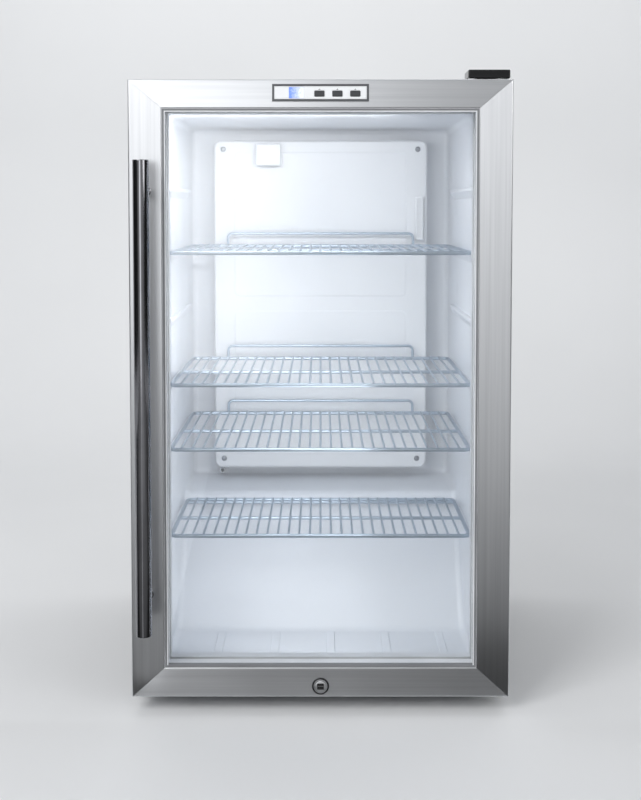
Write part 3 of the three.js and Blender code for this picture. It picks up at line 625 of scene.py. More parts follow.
# ---- door: control strip
def control_strip():
    """A white plate in a dark bezel, with a display window and three buttons that stand in holes."""
    lo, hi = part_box("control_bezel")
    edge = 2.5 * MM
    section = [(0, hi.y), (0, lo.y + 0.8 * MM)]
    section += arc((0.8 * MM, lo.y + 0.8 * MM), 0.8 * MM, 180, 270, 3)
    section += arc((edge - 0.5 * MM, lo.y + 0.5 * MM), 0.5 * MM, 270, 360, 3)
    section += [(edge, hi.y)]
    made = ring("panel_bezel", Vector((lo.x, 0, lo.z)), Vector((hi.x, 0, hi.z)), section)
    piece(made, "door", "grey_plastic", BEZEL_GREY, "control_bezel")

    lo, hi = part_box("control_panel")
    plate = block("panel_plate", lo, Vector((hi.x, DOOR_FRONT + 3 * MM, hi.z)), 0.5 * MM, 2)
    tools = []
    for node in ("button_1", "button_2", "button_3"):
        b_lo, b_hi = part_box(node)
        grow = Vector((0.35 * MM, 5 * MM, 0.35 * MM))
        tools.append(block("hole", b_lo - grow, b_hi + grow, 1.5 * MM, 3, 1))
    d_lo, d_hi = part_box("display_lens")
    pocket_lo = d_lo - Vector((0.3 * MM, 5 * MM, 0.3 * MM))
    tools.append(block("pocket", pocket_lo, d_hi + Vector((0.3 * MM,) * 3), 0))
    cut_with(plate, *tools)
    piece(plate, "door", "white_plastic", WHITE, "control_panel")

    lens = block("display_window", d_lo, d_hi, 0.4 * MM, 2)
    piece(lens, "door", "display", DISPLAY, "display_lens")

    bodies = {"button_1": "button_left", "button_2": "button_middle", "button_3": "button_right"}
    for node, body in bodies.items():
        b_lo, b_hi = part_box(node)
        cap = block(node + "_cap", b_lo, b_hi, 0.9 * MM, 4)
        piece(cap, body, "button_grey", BUTTON, node)
        x = (b_lo.x + b_hi.x) / 2
        for i, wide in enumerate(mm(1.4, 2.6)):
            z = b_hi.z + (1.9 - i * 0.8) * MM
            mark = block(f"{node}_mark_{i + 1}", (x - wide / 2, lo.y - 0.06 * MM, z),
                         (x + wide / 2, lo.y + 0.3 * MM, z + 0.45 * MM), 0.05 * MM, 1)
            piece(mark, "door", "grey_plastic", INK)


# ---- door: lock
def lock():
    """A dark trim ring round a satin ring, and a satin plug with a square black key core."""
    lo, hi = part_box("lock_body")
    x, z = (lo.x + hi.x) / 2, (lo.z + hi.z) / 2
    front = lo.y
    seat = DOOR_FRONT - front - 0.3 * MM
    outer = (hi.x - lo.x) / 2
    dark = [(8.9 * MM, seat), mm(8.9, 0.5), mm(9.3, 0.1), (outer - 0.9 * MM, 0.1 * MM)]
    dark += [(outer - 0.2 * MM, 0.7 * MM), (outer, 1.3 * MM), (outer, seat)]
    piece(washer("lock_trim", dark, "y", (x, front, z), 64), "door", "black_plastic", BLACK)
    inner = 7.5 * MM
    profile = [(inner, hi.y - front), (inner, 0.5 * MM), (inner + 0.3 * MM, 0)]
    profile += [(8.4 * MM, 0), mm(8.8, 0.5), (8.8 * MM, hi.y - front)]
    body = washer("lock_ring", profile, "y", (x, front, z), 64)
    piece(body, "door", "polished_steel", SATIN, "lock_body")

    p_lo, p_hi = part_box("lock_plug")
    radius = (p_hi.x - p_lo.x) / 2
    deep = p_hi.y - p_lo.y
    profile = [(0, 0), (radius - 0.8 * MM, 0), (radius - 0.2 * MM, 0.3 * MM), (radius, 0.9 * MM)]
    profile += [(radius, 46.4 * MM), mm(3, 46.4), (3 * MM, deep), (0, deep)]
    plug = lathe("lock_barrel", profile, "y", (x, p_lo.y, z), 48)

    def squared(name, half_x, half_z, y0, y1, radius):
        low = (x - half_x * MM, p_lo.y + y0 * MM, z - half_z * MM)
        return block(name, low, (x + half_x * MM, p_lo.y + y1 * MM, z + half_z * MM), radius * MM)

    cut_with(plug, squared("well", 4.4, 4.1, -5, 7, 0.7))
    piece(plug, "lock", "polished_steel", SATIN, "lock_plug")
    core = squared("key_core", 4.3, 4, 0.8, 6.9, 0.5)
    cut_with(core, squared("slit", 3.6, 0.8, -1, 5, 0.2))
    piece(core, "lock", "black_plastic", RUBBER)


# ---- case
def bent_side(node, s):
    """A side panel: one sheet with a bent front edge and a return towards the room."""
    lo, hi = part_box(node)
    outer = hi.x if s > 0 else -lo.x
    inner = lo.x if s > 0 else -hi.x
    bend = 3 * MM
    outline = [(outer, hi.y)]
    outline += arc((outer - bend, lo.y + bend), bend, 0, -90, 6)
    outline += [(inner, lo.y), (inner, lo.y + SHEET), (outer - bend, lo.y + SHEET)]
    outline += arc((outer - bend, lo.y + bend), bend - SHEET, -90, 0, 6)
    outline += [(outer - SHEET, hi.y)]
    loops = [[(s * x, y, z) for x, y in outline] for z in (lo.z, hi.z)]
    made = loft(node + "_sheet", loops)
    return piece(made, "cabinet", "case_black", CASE, node)


def bent_top():
    """The top sheet, with rounded long edges and its front return."""
    lo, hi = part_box("top_panel")
    bend = 3 * MM
    z1 = hi.z
    top = z1 - SHEET
    outline = [(hi.y, z1), (hi.y, top), (lo.y + bend, top)]
    outline += arc((lo.y + bend, z1 - bend), bend - SHEET, 90, 180, 6)
    outline += [(lo.y + SHEET, lo.z), (lo.y, lo.z)]
    outline += arc((lo.y + bend, z1 - bend), bend, 180, 90, 6)
    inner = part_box("inner_liner")[1].x - 0.3 * MM
    full = loft("top_sheet_middle", [[(x, y, z) for y, z in outline] for x in (-inner, inner)])
    sides = []
    for s in (-1, 1):
        outer = block("side", (min(s * inner, s * hi.x), lo.y, top), (max(s * inner, s * hi.x), hi.y, z1), 0)
        bm = bmesh.new()
        bm.from_mesh(outer.data)
        edges = [e for e in bm.edges if all(v.co.z > z1 - 1e-6 for v in e.verts)
                 and all(abs(v.co.x) > abs(hi.x) - 1e-6 for v in e.verts)]
        bmesh.ops.bevel(bm, geom=edges, offset=1 * MM, segments=3, affect="EDGES", profile=0.5)
        bm.to_mesh(outer.data)
        bm.free()
        sides.append(outer)
    made = joined("top_sheet", full, *sides)
    return piece(made, "cabinet", "case_black", CASE, "top_panel")


def screw(name, place, radius, body, facing, *nodes, material=None, slot="zinc_steel"):
    """A pan-head screw with a cross recess; facing is +1 when its head looks to +Y, -1 to -Y."""
    x, y, z = place
    high = radius * 0.42
    profile = [(0, -high), (radius * 0.45, -high), (radius * 0.8, -high * 0.75)]
    profile += [(radius, -high * 0.2), (radius, 0), (0, 0)]
    profile = [(r, a * -facing) for r, a in profile]
    head = lathe(name, profile, "y", (x, y, z), 24)
    deep = high * 0.55
    arm = radius * 0.55
    thin = radius * 0.14
    y0, y1 = sorted((y + facing * (high - deep), y + facing * (high + 2 * MM)))
    tools = [
        block("c1", (x - arm, y0, z - thin), (x + arm, y1, z + thin), 0),
        block("c2", (x - thin, y0, z - arm), (x + thin, y1, z + arm), 0),
    ]
    cut_with(head, *tools)
    return piece(head, body, slot, material or ZINC, *nodes)


def rear_wall():
    """Back sheet with pressed stiffening ribs and its screws, and fins behind the louvred cover."""
    lo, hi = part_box("back_panel")
    sheet = block("back_sheet", lo, hi, 0.5 * MM, 2)
    ribs = []
    for i in range(4):
        z = lo.z + (hi.z - lo.z) * (0.14 + i * 0.24)
        low, high = (lo.x + 50 * MM, hi.y - 0.6 * MM, z), (hi.x - 50 * MM, hi.y + 1.2 * MM, z + 12 * MM)
        ribs.append(block("rib", low, high, 1.1 * MM, 3))
    piece(joined("back_sheet_ribbed", sheet, *ribs), "cabinet", "case_black", CASE, "back_panel")
    for i, z in enumerate((lo.z + 9 * MM, (lo.z + hi.z) / 2, hi.z - 9 * MM)):
        for k, x in enumerate((lo.x + 9 * MM, 0, hi.x - 9 * MM)):
            if k == 1 and i == 1:
                continue
            screw(f"back_screw_{i + 1}_{k + 1}", (x, hi.y, z), 3.6 * MM, "cabinet", 1)
    g_lo, g_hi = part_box("rear_grille")
    for k, x in enumerate((g_lo.x + 9 * MM, 0, g_hi.x - 9 * MM)):
        for i, z in enumerate((g_lo.z + 8 * MM, g_hi.z - 6 * MM)):
            screw(f"grille_screw_{i + 1}_{k + 1}", (x, g_hi.y, z), 3.6 * MM, "cabinet", 1)
    fins = []
    for row in range(9):
        z = (42 + row * 15.5) * MM
        for x in mm(-112, 112):
            outline = [(g_lo.y - 0.2 * MM, z - 1 * MM), (g_lo.y - 9 * MM, z + 7.5 * MM)]
            outline += [(g_lo.y - 9 * MM, z + 8.5 * MM), (g_lo.y - 0.2 * MM, z)]
            loops = [[(xx, y, zz) for y, zz in outline] for xx in (x - 98 * MM, x + 98 * MM)]
            fins.append(loft("fin", loops))
    piece(joined("louvre_fins", *fins), "cabinet", "case_black", CASE)


def foot(node, body):
    """A levelling foot: a rubber pad and a steel stem with a round collar and grooves for its thread."""
    lo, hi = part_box(node)
    x, y = (lo.x + hi.x) / 2, (lo.y + hi.y) / 2
    base = (hi.x - lo.x) / 2
    pad = [(0, 0), (base - 3 * MM, 0), (base - 1 * MM, 1 * MM), (base, 2.6 * MM), (base, 5 * MM)]
    pad += [(base - 1 * MM, 6.8 * MM), mm(11.6, 8), (0, 8 * MM)]
    made = lathe(node + "_pad", pad, "z", (x, y, lo.z), 48)
    piece(made, body, "foot_rubber", RUBBER, node)
    stem = [(0, 7.9 * MM), mm(10.8, 7.9), mm(10.8, 15.5), mm(10, 16.6)]
    stem += [mm(4, 16.6)]
    turns = 14
    pitch = 1.25 * MM
    for i in range(turns):
        z = 17 * MM + i * pitch
        stem += [(4 * MM, z), (3.45 * MM, z + pitch / 2)]
    stem += [(3.4 * MM, hi.z - lo.z), (0, hi.z - lo.z)]
    made = lathe(node + "_stem", stem, "z", (x, y, lo.z), 24)
    piece(made, body, "zinc_steel", ZINC)


def hinge_cap():
    """A hollow cap over the top hinge, open below and notched low at its back."""
    lo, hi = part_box("hinge_cap")
    cap = block("hinge_cover", lo, hi, 1.6 * MM, 4)
    wall = 1.2 * MM
    below = lo.z - 5 * MM
    high = (hi.x - wall, hi.y - 2 * MM, hi.z - 2 * MM)
    hollow = block("hollow", (lo.x + wall, lo.y + wall, below), high, 0)
    high = (hi.x - wall, hi.y + 5 * MM, lo.z + 3.6 * MM)
    mouth = block("mouth", (lo.x + wall, hi.y - 5 * MM, below), high, 0)
    cut_with(cap, hollow, mouth)
    piece(cap, "cabinet", "black_plastic", BLACK_GLOSS, "hinge_cap")


# ---- inside
def hump_line():
    """Depth and height of the room's outline in the side view, from the front sill round to the ceiling."""
    front = ROOM_LO.y
    back = ROOM_HI.y - LINER
    floor = ROOM_LO.z + LINER
    top = ROOM_HI.z - LINER
    sill = floor + 9 * MM
    hump_top = 217 * MM
    return [
        (front, sill), (front + 8 * MM, sill), (front + 10 * MM, floor),
        (front + 136 * MM, floor), (front + 250 * MM, hump_top),
        (back, hump_top), (back, top), (front, top),
    ]


def liner():
    """White thermoformed liner: one skin with filleted corners, moulded shelf guides and floor ribs."""
    half = ROOM_HI.x - LINER
    outline = hump_line()
    bm = lofted([[(x, y, z) for y, z in outline] for x in (-half, half)])
    front = ROOM_LO.y
    open_face = [f for f in bm.faces if all(abs(v.co.y - front) < 1e-6 for v in f.verts)]
    bmesh.ops.delete(bm, geom=open_face, context="FACES_ONLY")
    sill = outline[0][1]
    corner = 11 * MM

    def on_sill(vert):
        return vert.co.y < front + corner and vert.co.z < sill + 1e-4

    inner = [e for e in bm.edges if e.is_manifold and not all(on_sill(v) for v in e.verts)]
    soften = {"segments": 5, "affect": "EDGES", "profile": 0.5, "clamp_overlap": True}
    bmesh.ops.bevel(bm, geom=inner, offset=corner, **soften)
    bmesh.ops.recalc_face_normals(bm, faces=bm.faces)
    skin = obj_from("liner_skin", bm)
    thick = skin.modifiers.new("thick", "SOLIDIFY")
    thick.thickness = 1.7 * MM
    thick.offset = 1.0
    baked(skin)
    parts = [skin]
    levels = [326, 413, 501.5, 590, 678.5]
    lowest = 209
    for s in (-1, 1):
        for level in levels + [lowest]:
            top = (level - 1.6 - 1.3) * MM
            depth = 305 if level != lowest else 206
            parts.append(guide_rail(s, half, top, ROOM_LO.y + 22 * MM, ROOM_LO.y + depth * MM))
    floor = outline[2][1]
    for i in range(-2, 3):
        x = (14 + i * 77) * MM
        low = (x - 6 * MM, front + 20 * MM, floor - 1 * MM)
        high = (x + 6 * MM, front + 128 * MM, floor + 1.6 * MM)
        parts.append(block("rib", low, high, 1.4 * MM, 4))
    made = joined("liner_moulded", *parts)
    smoothed(made)
    return piece(made, "cabinet", "liner_white", LINER_WHITE, "inner_liner")


def guide_rail(s, half, top, y0, y1):
    """A moulded shelf ledge: rounded nose, flat top and a long draft below."""
    out = 6 * MM
    nose = 1.6 * MM
    outline = [(half + 0.8 * MM, top), (half - out + nose, top)]
    outline += arc((half - out + nose, top - nose), nose, 90, 180, 4)
    outline += [(half - out, top - 4.5 * MM), (half - 2 * MM, top - 10 * MM)]
    outline += [(half + 0.8 * MM, top - 16 * MM)]
    loops = []
    for y, grow in ((y0, -3 * MM), (y0 + 4 * MM, 0), (y1 - 4 * MM, 0), (y1, -3 * MM)):
        loop = []
        for x, z in outline:
            out_by = grow if x < half else 0
            loop.append((s * (x - out_by), y, z + out_by * 0.2))
        loops.append(loop)
    return loft("guide", loops)


def evaporator_cover():
    """Moulded cover on the rear wall, with a fillet round its face and two raised fields on it."""
    lo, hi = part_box("evaporator_cover")
    radius = 11 * MM
    fillet = 4 * MM
    loops = []
    stations = [(hi.y, 0), (lo.y + fillet, 0)]
    for i in range(1, 6):
        a = math.radians(90 * i / 5)
        stations.append((lo.y + fillet * (1 - math.sin(a)), fillet * (1 - math.cos(a))))
    for y, inset in stations:
        sides = (lo.x + inset, hi.x - inset, lo.z + inset, hi.z - inset)
        loops.append(round_rect(*sides, radius - inset * 0.8, y))
    shell = obj_from("cover", lofted(loops, open_start=True))
    thick = shell.modifiers.new("thick", "SOLIDIFY")
    thick.thickness = 1.8 * MM
    thick.offset = -1.0
    baked(shell)
    face = lo.y
    field = raised_field("field", -136 * MM, 136 * MM, 508 * MM, 736 * MM, face)
    low_field = raised_field("field_low", -136 * MM, 136 * MM, 256 * MM, 486 * MM, face)
    made = joined("evaporator_cover_moulded", shell, field, low_field)
    smoothed(made)
    piece(made, "cabinet", "white_plastic", WHITE, "evaporator_cover")
    inset = 15 * MM
    places = [(x, z) for z in (hi.z - 14 * MM, lo.z + inset) for x in (hi.x - inset, lo.x + inset)]
    for i, (x, z) in enumerate(places):
        place = (x, face - 0.1 * MM, z)
        node = f"cover_screw_{i + 1}"
        screw(f"cover_screw_head_{i + 1}", place, 4.2 * MM, "cabinet", -1, node, material=SCREW_GREY)


def raised_field(name, x0, x1, z0, z1, face):
    """A softly raised rounded rectangle on a face that looks to -Y."""
    loops = []
    for out, inset in ((-0.5, 0), (0.0, 0), (0.4, 1.4), (0.55, 3.2)):
        d = inset * MM
        loops.append(round_rect(x0 + d, x1 - d, z0 + d, z1 - d, 9 * MM - d * 0.8, face - out * MM))
    return loft(name, loops)


def round_rect(x0, x1, z0, z1, radius, y, steps=6):
    """The outline of a rounded rectangle across X and Z, at the depth y."""
    points = []
    points += arc((x1 - radius, z0 + radius), radius, -90, 0, steps)
    points += arc((x1 - radius, z1 - radius), radius, 0, 90, steps)
    points += arc((x0 + radius, z1 - radius), radius, 90, 180, steps)
    points += arc((x0 + radius, z0 + radius), radius, 180, 270, steps)
    return [(x, y, z) for x, z in points]


def small_fittings():
    """Lamp housing with vent slats, slotted sensor guard, and the drain with its pipe."""
    lo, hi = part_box("lamp_housing")
    box = block("lamp_box", lo, hi, 2.5 * MM, 4)
    piece(box, "cabinet", "white_plastic", WHITE, "lamp_housing")
    slats = []
    for i in range(6):
        x = lo.x + (5 + i * 4.2) * MM
        low, high = (x, lo.y + 3 * MM, lo.z - 0.25 * MM), (x + 2 * MM, hi.y - 3 * MM, lo.z + 2 * MM)
        slats.append(block("slat", low, high, 0.2 * MM, 1))
    piece(joined("lamp_vents", *slats), "cabinet", "grey_plastic", GREY)

    lo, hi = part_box("sensor_guard")
    guard = block("sensor_cage", lo, hi, 2.4 * MM, 4)
    tools = []
    for i in range(9):
        z = lo.z + (6 + i * 6.6) * MM
        low, high = (lo.x + 2.5 * MM, lo.y - 3 * MM, z), (hi.x - 2.5 * MM, lo.y + 2.5 * MM, z + 3 * MM)
        tools.append(block("slot", low, high, 0.8 * MM, 2, 1))
    cut_with(guard, *tools)
    piece(guard, "cabinet", "white_plastic", WHITE, "sensor_guard")

    lo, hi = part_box("drain_tube")
    x = (lo.x + hi.x) / 2
    z = 225.5 * MM
    wall = ROOM_HI.y - LINER
    flange = in_mm((3, 0), (3, -2), (4, -3), (7.5, -3), (8.4, -2), (8.4, 0))
    cup = washer("drain_cup", flange, "y", (x, wall - 0.2 * MM, z), 32)
    section = in_mm((3, -20), (4.4, -20), (4.4, 30), (3, 30))
    pipe = washer("drain_pipe", section, "y", (x, wall, z), 32)
    down = rod("drain_down", [(x, 250 * MM, 229 * MM), (x, 250 * MM, 166 * MM)], 4.4 * MM)
    piece(joined("drain_fitting", cup, pipe, down), "cabinet", "white_plastic", WHITE, "drain_tube")


# ---- shelves
def shelf(index, body):
    """A plated wire shelf: rounded outer frame, cross bars and thin wires welded on top."""
    node = f"shelf_{index}"
    lo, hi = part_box(node)
    plane = lo.z + 5.6 * MM
    has_rail = hi.z - plane > 10 * MM
    frame_r = 2.7 * MM
    wire_r = 1.55 * MM
    half = hi.x - frame_r
    y0, y1 = lo.y + frame_r, hi.y - frame_r
    z = plane - wire_r - 0.3 * MM
    parts = [closed_loop([(-half, y0), (half, y0), (half, y1), (-half, y1)], z, 9 * MM, frame_r)]
    count = 27
    pitch = 2 * half / (count + 1)
    top = plane
    for i in range(1, count + 1):
        x = -half + i * pitch
        parts.append(rod("wire", [(x, y0 - frame_r * 0.4, top), (x, y1 + frame_r * 0.4, top)], wire_r, 0, 10))
    y = y0 + (y1 - y0) * 0.5
    under = top - wire_r - 2.2 * MM
    parts.append(rod("cross", [(-half, y, under), (half, y, under)], 2.4 * MM, 0, 14))
    if has_rail:
        rail = 145 * MM
        crest = hi.z - 2 * MM
        points = [(-rail, y1, top - 2 * MM), (-rail, y1, crest), (rail, y1, crest), (rail, y1, top - 2 * MM)]
        parts.append(rod("rail", points, 2.0 * MM, 7 * MM, 14))
    else:
        y, under = y1 - 9 * MM, top - wire_r - 2 * MM
        parts.append(rod("double", [(-half, y, under), (half, y, under)], 2.2 * MM, 0, 14))
    made = joined(node + "_wires", *parts)
    return piece(made, body, "shelf_wire", WIRE, node)


def closed_loop(corners, z, bend, radius, sides=16):
    """A closed round bar round a rectangle with rounded corners."""
    centre = Vector((sum(c[0] for c in corners) / 4, sum(c[1] for c in corners) / 4))
    path = []
    for (x, y), start in zip(corners, (180, 270, 0, 90)):
        sx = 1 if x < centre.x else -1
        sy = 1 if y < centre.y else -1
        path += [(px, py, z) for px, py in arc((x + sx * bend, y + sy * bend), bend, start, start + 90, 6)]
    loops = []
    up = Vector((0, 0, 1))
    n = len(path)
    for i in range(n):
        before, here, after = Vector(path[i - 1]), Vector(path[i]), Vector(path[(i + 1) % n])
        ahead = (after - before).normalized()
        side = ahead.cross(up)
        loop = []
        for k in range(sides):
            a = 2 * math.pi * k / sides
            loop.append(here + (side * math.cos(a) + up * math.sin(a)) * radius)
        loops.append(loop)
    return loft("loop", loops, closed=True)


# ---- machine bay
def machine_bay():
    """Compressor with its mounting rubbers, and the wire-on-tube condenser."""
    lo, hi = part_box("compressor")
    base = lo.z
    x, y = 110 * MM, 185 * MM
    foot_of_shell = in_mm((0, 12), (40, 12), (50, 15), (56, 22), (58, 34))
    seam = in_mm((58, 73), (60.5, 73.5), (60.5, 76.5), (58, 77))
    dome = in_mm((57.4, 100), (54, 114), (46, 126), (34, 134), (18, 139), (0, 140))
    shell = lathe("shell", foot_of_shell + seam + dome, "z", (x, y, base), 64)
    low, high = (x - 75 * MM, y - 50 * MM, base + 8 * MM), (x + 75 * MM, y + 50 * MM, base + 12.5 * MM)
    plate = block("plate", low, high, 1.5 * MM, 3)
    low, high = (x - 22 * MM, y + 48 * MM, base + 40 * MM), (x + 22 * MM, y + 78 * MM, base + 88 * MM)
    cover = block("terminal", low, high, 4 * MM, 4)
    made = joined("compressor_shell", shell, plate, cover)
    smoothed(made)
    piece(made, "cabinet", "compressor_black", ENAMEL, "compressor")
    for i, (sx, sy) in enumerate(((-1, -1), (1, -1), (-1, 1), (1, 1))):
        section = in_mm((0, 0), (8, 0), (9, 1), (9, 3), (6.5, 4), (6.5, 6), (9, 7), (9, 8), (0, 8))
        place = (x + sx * 64 * MM, y + sy * 40 * MM, base)
        piece(lathe(f"grommet_{i + 1}", section, "z", place, 24), "cabinet", "foot_rubber", RUBBER)

    lo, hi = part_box("condenser_coil")
    yc = (lo.y + hi.y) / 2
    r = 3 * MM
    zs = [lo.z + (9 + i * 32) * MM for i in range(4)]
    path = []
    for i, z in enumerate(zs):
        ends = (lo.x + r, hi.x - r) if i % 2 == 0 else (hi.x - r, lo.x + r)
        path += [(ends[0], yc, z), (ends[1], yc, z)]
    parts = [sweep("tube", rounded_path(path, 12 * MM, 6), r, 14)]
    count = 31
    for i in range(count):
        wx = lo.x + 10 * MM + i * (hi.x - lo.x - 20 * MM) / (count - 1)
        for dy in (-r - 0.5 * MM, r + 0.5 * MM):
            parts.append(rod("wire", [(wx, yc + dy, lo.z), (wx, yc + dy, hi.z)], 0.8 * MM, 0, 6))
    piece(joined("condenser_wires", *parts), "cabinet", "compressor_black", ENAMEL, "condenser_coil")


# ---- stage, light and camera
def stage():
    """A pale floor that curves up into a pale wall behind the object."""
    y0, y1, rise, half = -6.0, 2.2, 3.4, 6.0
    bend = 0.9
    outline = [(y0, 0.0)] + arc((y1 - bend, bend), bend, 270, 360, 16) + [(y1, rise)]
    bm = bmesh.new()
    rows = [[bm.verts.new((x, y, z)) for y, z in outline] for x in (-half, half)]
    for i in range(len(outline) - 1):
        bm.faces.new((rows[0][i], rows[0][i + 1], rows[1][i + 1], rows[1][i]))
    floor = obj_from("studio_sweep", bm, 60)
    look = Look("studio_paper", (0.78, 0.785, 0.79), 0.6)
    look.tint(look.noise(1.5, (1, 1, 1), 2.0), (0.77, 0.775, 0.78), (0.80, 0.805, 0.81))
    floor.data.materials.append(look.material)


def unseen_card(name, corners, strength):
    """A glowing card that only shiny surfaces see. strength(look) gives its brightness socket."""
    bm = bmesh.new()
    bm.faces.new([bm.verts.new(c) for c in corners])
    made = obj_from(name, bm)
    look = Look(name + "_glow", (0, 0, 0), 1.0)
    glow = look.node("ShaderNodeEmission")
    glow.inputs["Color"].default_value = (0.97, 0.985, 1.0, 1)
    look.link(strength(look), glow.inputs["Strength"])
    look.tree.nodes.remove(look.shader)
    look.link(glow.outputs["Emission"], look.tree.nodes["Material Output"].inputs["Surface"])
    made.data.materials.append(look.material)
    for ray in ("camera", "diffuse", "transmission", "shadow", "volume_scatter"):
        setattr(made, "visible_" + ray, False)


def axis_ramp(look, axis, stops):
    """Brightness that runs through (place, value) stops along one axis."""
    split = look.node("ShaderNodeSeparateXYZ")
    look.link(look.coords, split.inputs["Vector"])
    first, last = stops[0][0], stops[-1][0]
    ramp = look.node("ShaderNodeValToRGB")
    ramp.color_ramp.interpolation = "EASE"
    marks = ramp.color_ramp.elements
    while len(marks) < len(stops):
        marks.new(0.5)
    for mark, (place, value) in zip(marks, stops):
        mark.position = (place - first) / (last - first)
    for mark, (place, value) in zip(marks, stops):
        mark.color = (value, value, value, 1)
    look.link(look.ranged(split.outputs[axis], 0, 1, first, last), ramp.inputs["Fac"])
    return ramp.outputs["Color"]


def times(look, a, b, operation="MULTIPLY"):
    """Two values multiplied, or combined by another operation."""
    made = look.node("ShaderNodeMath", operation=operation)
    look.link(a, made.inputs[0])
    look.link(b, made.inputs[1])
    return made.outputs[0]


def front_glow(look):
    """Low down a strip that is brightest left of the middle, and above about 1 m a broad glow."""
    low = axis_ramp(look, "Z", [(0, 1.0), (0.4, 1.05), (0.75, 1.3), (1.2, 0.15), (3.4, 0.0)])
    lit = [(-0.5, 2.6), (0.1, 0.65), (1.0, 0.42)]
    strip = axis_ramp(look, "X", [(-3.5, 0.05), (-2.3, 0.25), (-1.1, 0.6), *lit, (2.4, 0.25), (3.5, 0.05)])
    high = axis_ramp(look, "Z", [(0, 0.0), (0.85, 0.02), (1.15, 1.1), (1.8, 1.4), (3.4, 1.3)])
    lit = [(-1.0, 0.85), (-0.1, 0.85), (0.4, 0.3)]
    broad = axis_ramp(look, "X", [(-3.5, 0.2), (-1.7, 0.4), *lit, (0.8, 0.2), (1.5, 0.4), (3.5, 0.3)])
    return times(look, times(look, low, strip), times(look, high, broad), "ADD")


def floor_glow(look):
    """Nearly dark next to the door and brighter further off, with darker flanks."""
    near = [(-0.62, 0.2), (-0.42, 0.04), (-0.2, 0.03)]
    away = axis_ramp(look, "Y", [(-3.4, 0.7), (-1.8, 0.5), (-1.0, 0.26), *near])
    flanks = axis_ramp(look, "X", [(-2.2, 0.4), (-0.9, 0.7), (-0.5, 1.0), (0.5, 1.0), (0.9, 0.7), (2.2, 0.4)])
    return times(look, away, flanks)


def streak_glow(look):
    """Nearly even along its length, and a little brighter at its ends."""
    return axis_ramp(look, "Y", [(-3.4, 0.95), (-1.8, 0.8), (-0.8, 0.75), (-0.2, 0.9)])


def side_glow(look):
    """Nearly dark up to 0.9 m and lit above that."""
    return axis_ramp(look, "Z", [(0, 0.02), (0.9, 0.03), (1.4, 0.5), (2.6, 0.6)])


def reflections():
    """Cards like a studio's flags and reflectors, in front and to both sides."""
    depth, side, tall = -3.4, 3.4, 2.6
    front = [(-side, depth, 0), (side, depth, 0), (side, depth, 3.4), (-side, depth, 3.4)]
    unseen_card("front_card", front, front_glow)
    near, half, above = -0.24, 2.2, 0.004
    floor = [(-half, depth, above), (half, depth, above), (half, near, above), (-half, near, above)]
    unseen_card("floor_card", floor, floor_glow)
    # a lit streak on the floor that runs from the handle's foot, so that the bar shows one thin bright line
    start, end = (-0.23, -0.31), (-0.68, depth + 0.05)
    streak = [(start[0] - 0.01, start[1], 0.008), (start[0] + 0.01, start[1], 0.008)]
    streak += [(end[0] + 0.34, end[1], 0.008), (end[0] - 0.06, end[1], 0.008)]
    unseen_card("streak_card", streak, streak_glow)
    for name, x in (("side_card_left", -side), ("side_card_right", side)):
        unseen_card(name, [(x, depth, 0), (x, 1.2, 0), (x, 1.2, tall), (x, depth, tall)], side_glow)


def area_light(name, place, target, size, power, color=(1, 1, 1), size_y=None):
    """A rectangular lamp aimed at a target."""
    data = bpy.data.lights.new(name, "AREA")
    data.energy = power
    data.color = color
    data.size = size
    if size_y:
        data.shape = "RECTANGLE"
        data.size_y = size_y
    made = bpy.data.objects.new(name, data)
    made.location = place
    made.rotation_euler = (Vector(target) - Vector(place)).to_track_quat("-Z", "Y").to_euler()
    made.visible_camera = False
    bpy.context.scene.collection.objects.link(made)
    return made


def light():
    """A key and a fill from the front, a wash down the wall, and small lamps inside the room."""
    scene = bpy.context.scene
    scene.view_settings.view_transform = "Standard"
    world = bpy.data.worlds.new("studio")
    scene.world = world
    world.use_nodes = True
    back = world.node_tree.nodes["Background"]
    back.inputs["Color"].default_value = (0.90, 0.93, 0.97, 1)
    back.inputs["Strength"].default_value = 0.45
    area_light("key", (-1.7, -2.4, 2.1), (0, 0, 0.5), 1.6, 62, size_y=1.8)
    area_light("fill", (2.2, -2.2, 1.4), (0, 0, 0.4), 1.4, 18)
    area_light("wall_wash", (0, 0.7, 2.9), (0, 2.2, 0.6), 3.0, 24, size_y=0.8)
    inside = Vector((-0.05, ROOM_LO.y + 0.05, ROOM_HI.z - 0.012))
    area_light("inside_top", inside, (-0.05, ROOM_HI.y, 0.35), 0.30, 0.55, (0.98, 0.98, 1.0), 0.03)
    for i, (z, power) in enumerate(((0.50, 0.23), (0.37, 0.20), (0.27, 0.155), (0.12, 0.10))):
        spot = (-0.06, ROOM_LO.y + 0.02, z)
        area_light(f"inside_{i}", spot, (0, ROOM_HI.y, z - 0.02), 0.26, power, (0.95, 0.965, 1.0), 0.05)


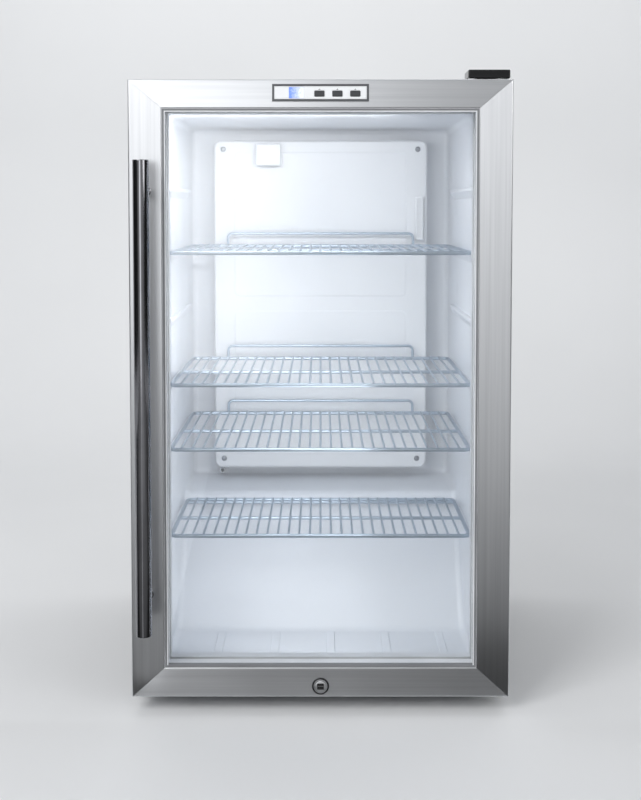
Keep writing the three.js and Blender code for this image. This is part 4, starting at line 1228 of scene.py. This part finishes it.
def camera():
    """Stands in front of the middle of the door and looks slightly down."""
    data = bpy.data.cameras.new("camera")
    data.lens = 55.09
    data.sensor_width = 36
    data.shift_y = -0.1625
    made = bpy.data.objects.new("camera", data)
    made.location = (0, DOOR_FRONT - 1.5392, 0.6494)
    made.rotation_euler = (math.radians(90 - 2.946), 0, 0)
    bpy.context.scene.collection.objects.link(made)
    bpy.context.scene.camera = made


# ---- CAD nodes that stay, with better materials
def dress(material, *nodes):
    """Gives CAD nodes that stay another material."""
    for node in nodes:
        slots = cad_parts[node].data.materials
        slots.clear()
        slots.append(material)


def dress_frame():
    """Materials for CAD nodes that are drawn as they are."""
    dress(FRAME_GREY, "window_frame")
    dress(GREY, "fan_blade")
    dress(FRAME_GREY, "glass_spacer")
    dress(ALUMINIUM, "evaporator_coil")
    dress(BOARD, "controller_board")
    dress(ZINC, "lock_cam", "lock_keeper", "hinge_bracket_top", "hinge_pin_top", "hinge_bracket_bottom")
    dress(WHITE, "hinge_bush_top", "hinge_bush_bottom")
    dress(CASE, "base_plate", "rear_grille")
    dress(FOAM, "foam_insulation")
    dress(BLACK, "fan_motor", "drain_pan", "power_inlet")
    dress(COPPER, "drier_line", "suction_pipe")


camera()
stage()
light()
reflections()
dress_frame()

steel_member("door_stile_left", "left", BRUSHED_Z)
steel_member("door_stile_right", "right", BRUSHED_Z)
steel_member("door_rail_top", "top", BRUSHED_X)
steel_member("door_rail_bottom", "bottom", BRUSHED_X)
glazing_bead()
pane("glass_outer")
pane("glass_inner")
gasket()
handle()
control_strip()
lock()

bent_side("side_panel_left", -1)
bent_side("side_panel_right", 1)
bent_top()
rear_wall()
hinge_cap()
FEET = {
    "foot_1": "foot_front_left",
    "foot_2": "foot_front_right",
    "foot_3": "foot_rear_left",
    "foot_4": "foot_rear_right",
}
for foot_node, foot_body in FEET.items():
    foot(foot_node, foot_body)

liner()
evaporator_cover()
small_fittings()
for number, shelf_body in enumerate(("shelf_top", "shelf_upper", "shelf_lower", "shelf_bottom"), 1):
    shelf(number, shelf_body)
machine_bay()
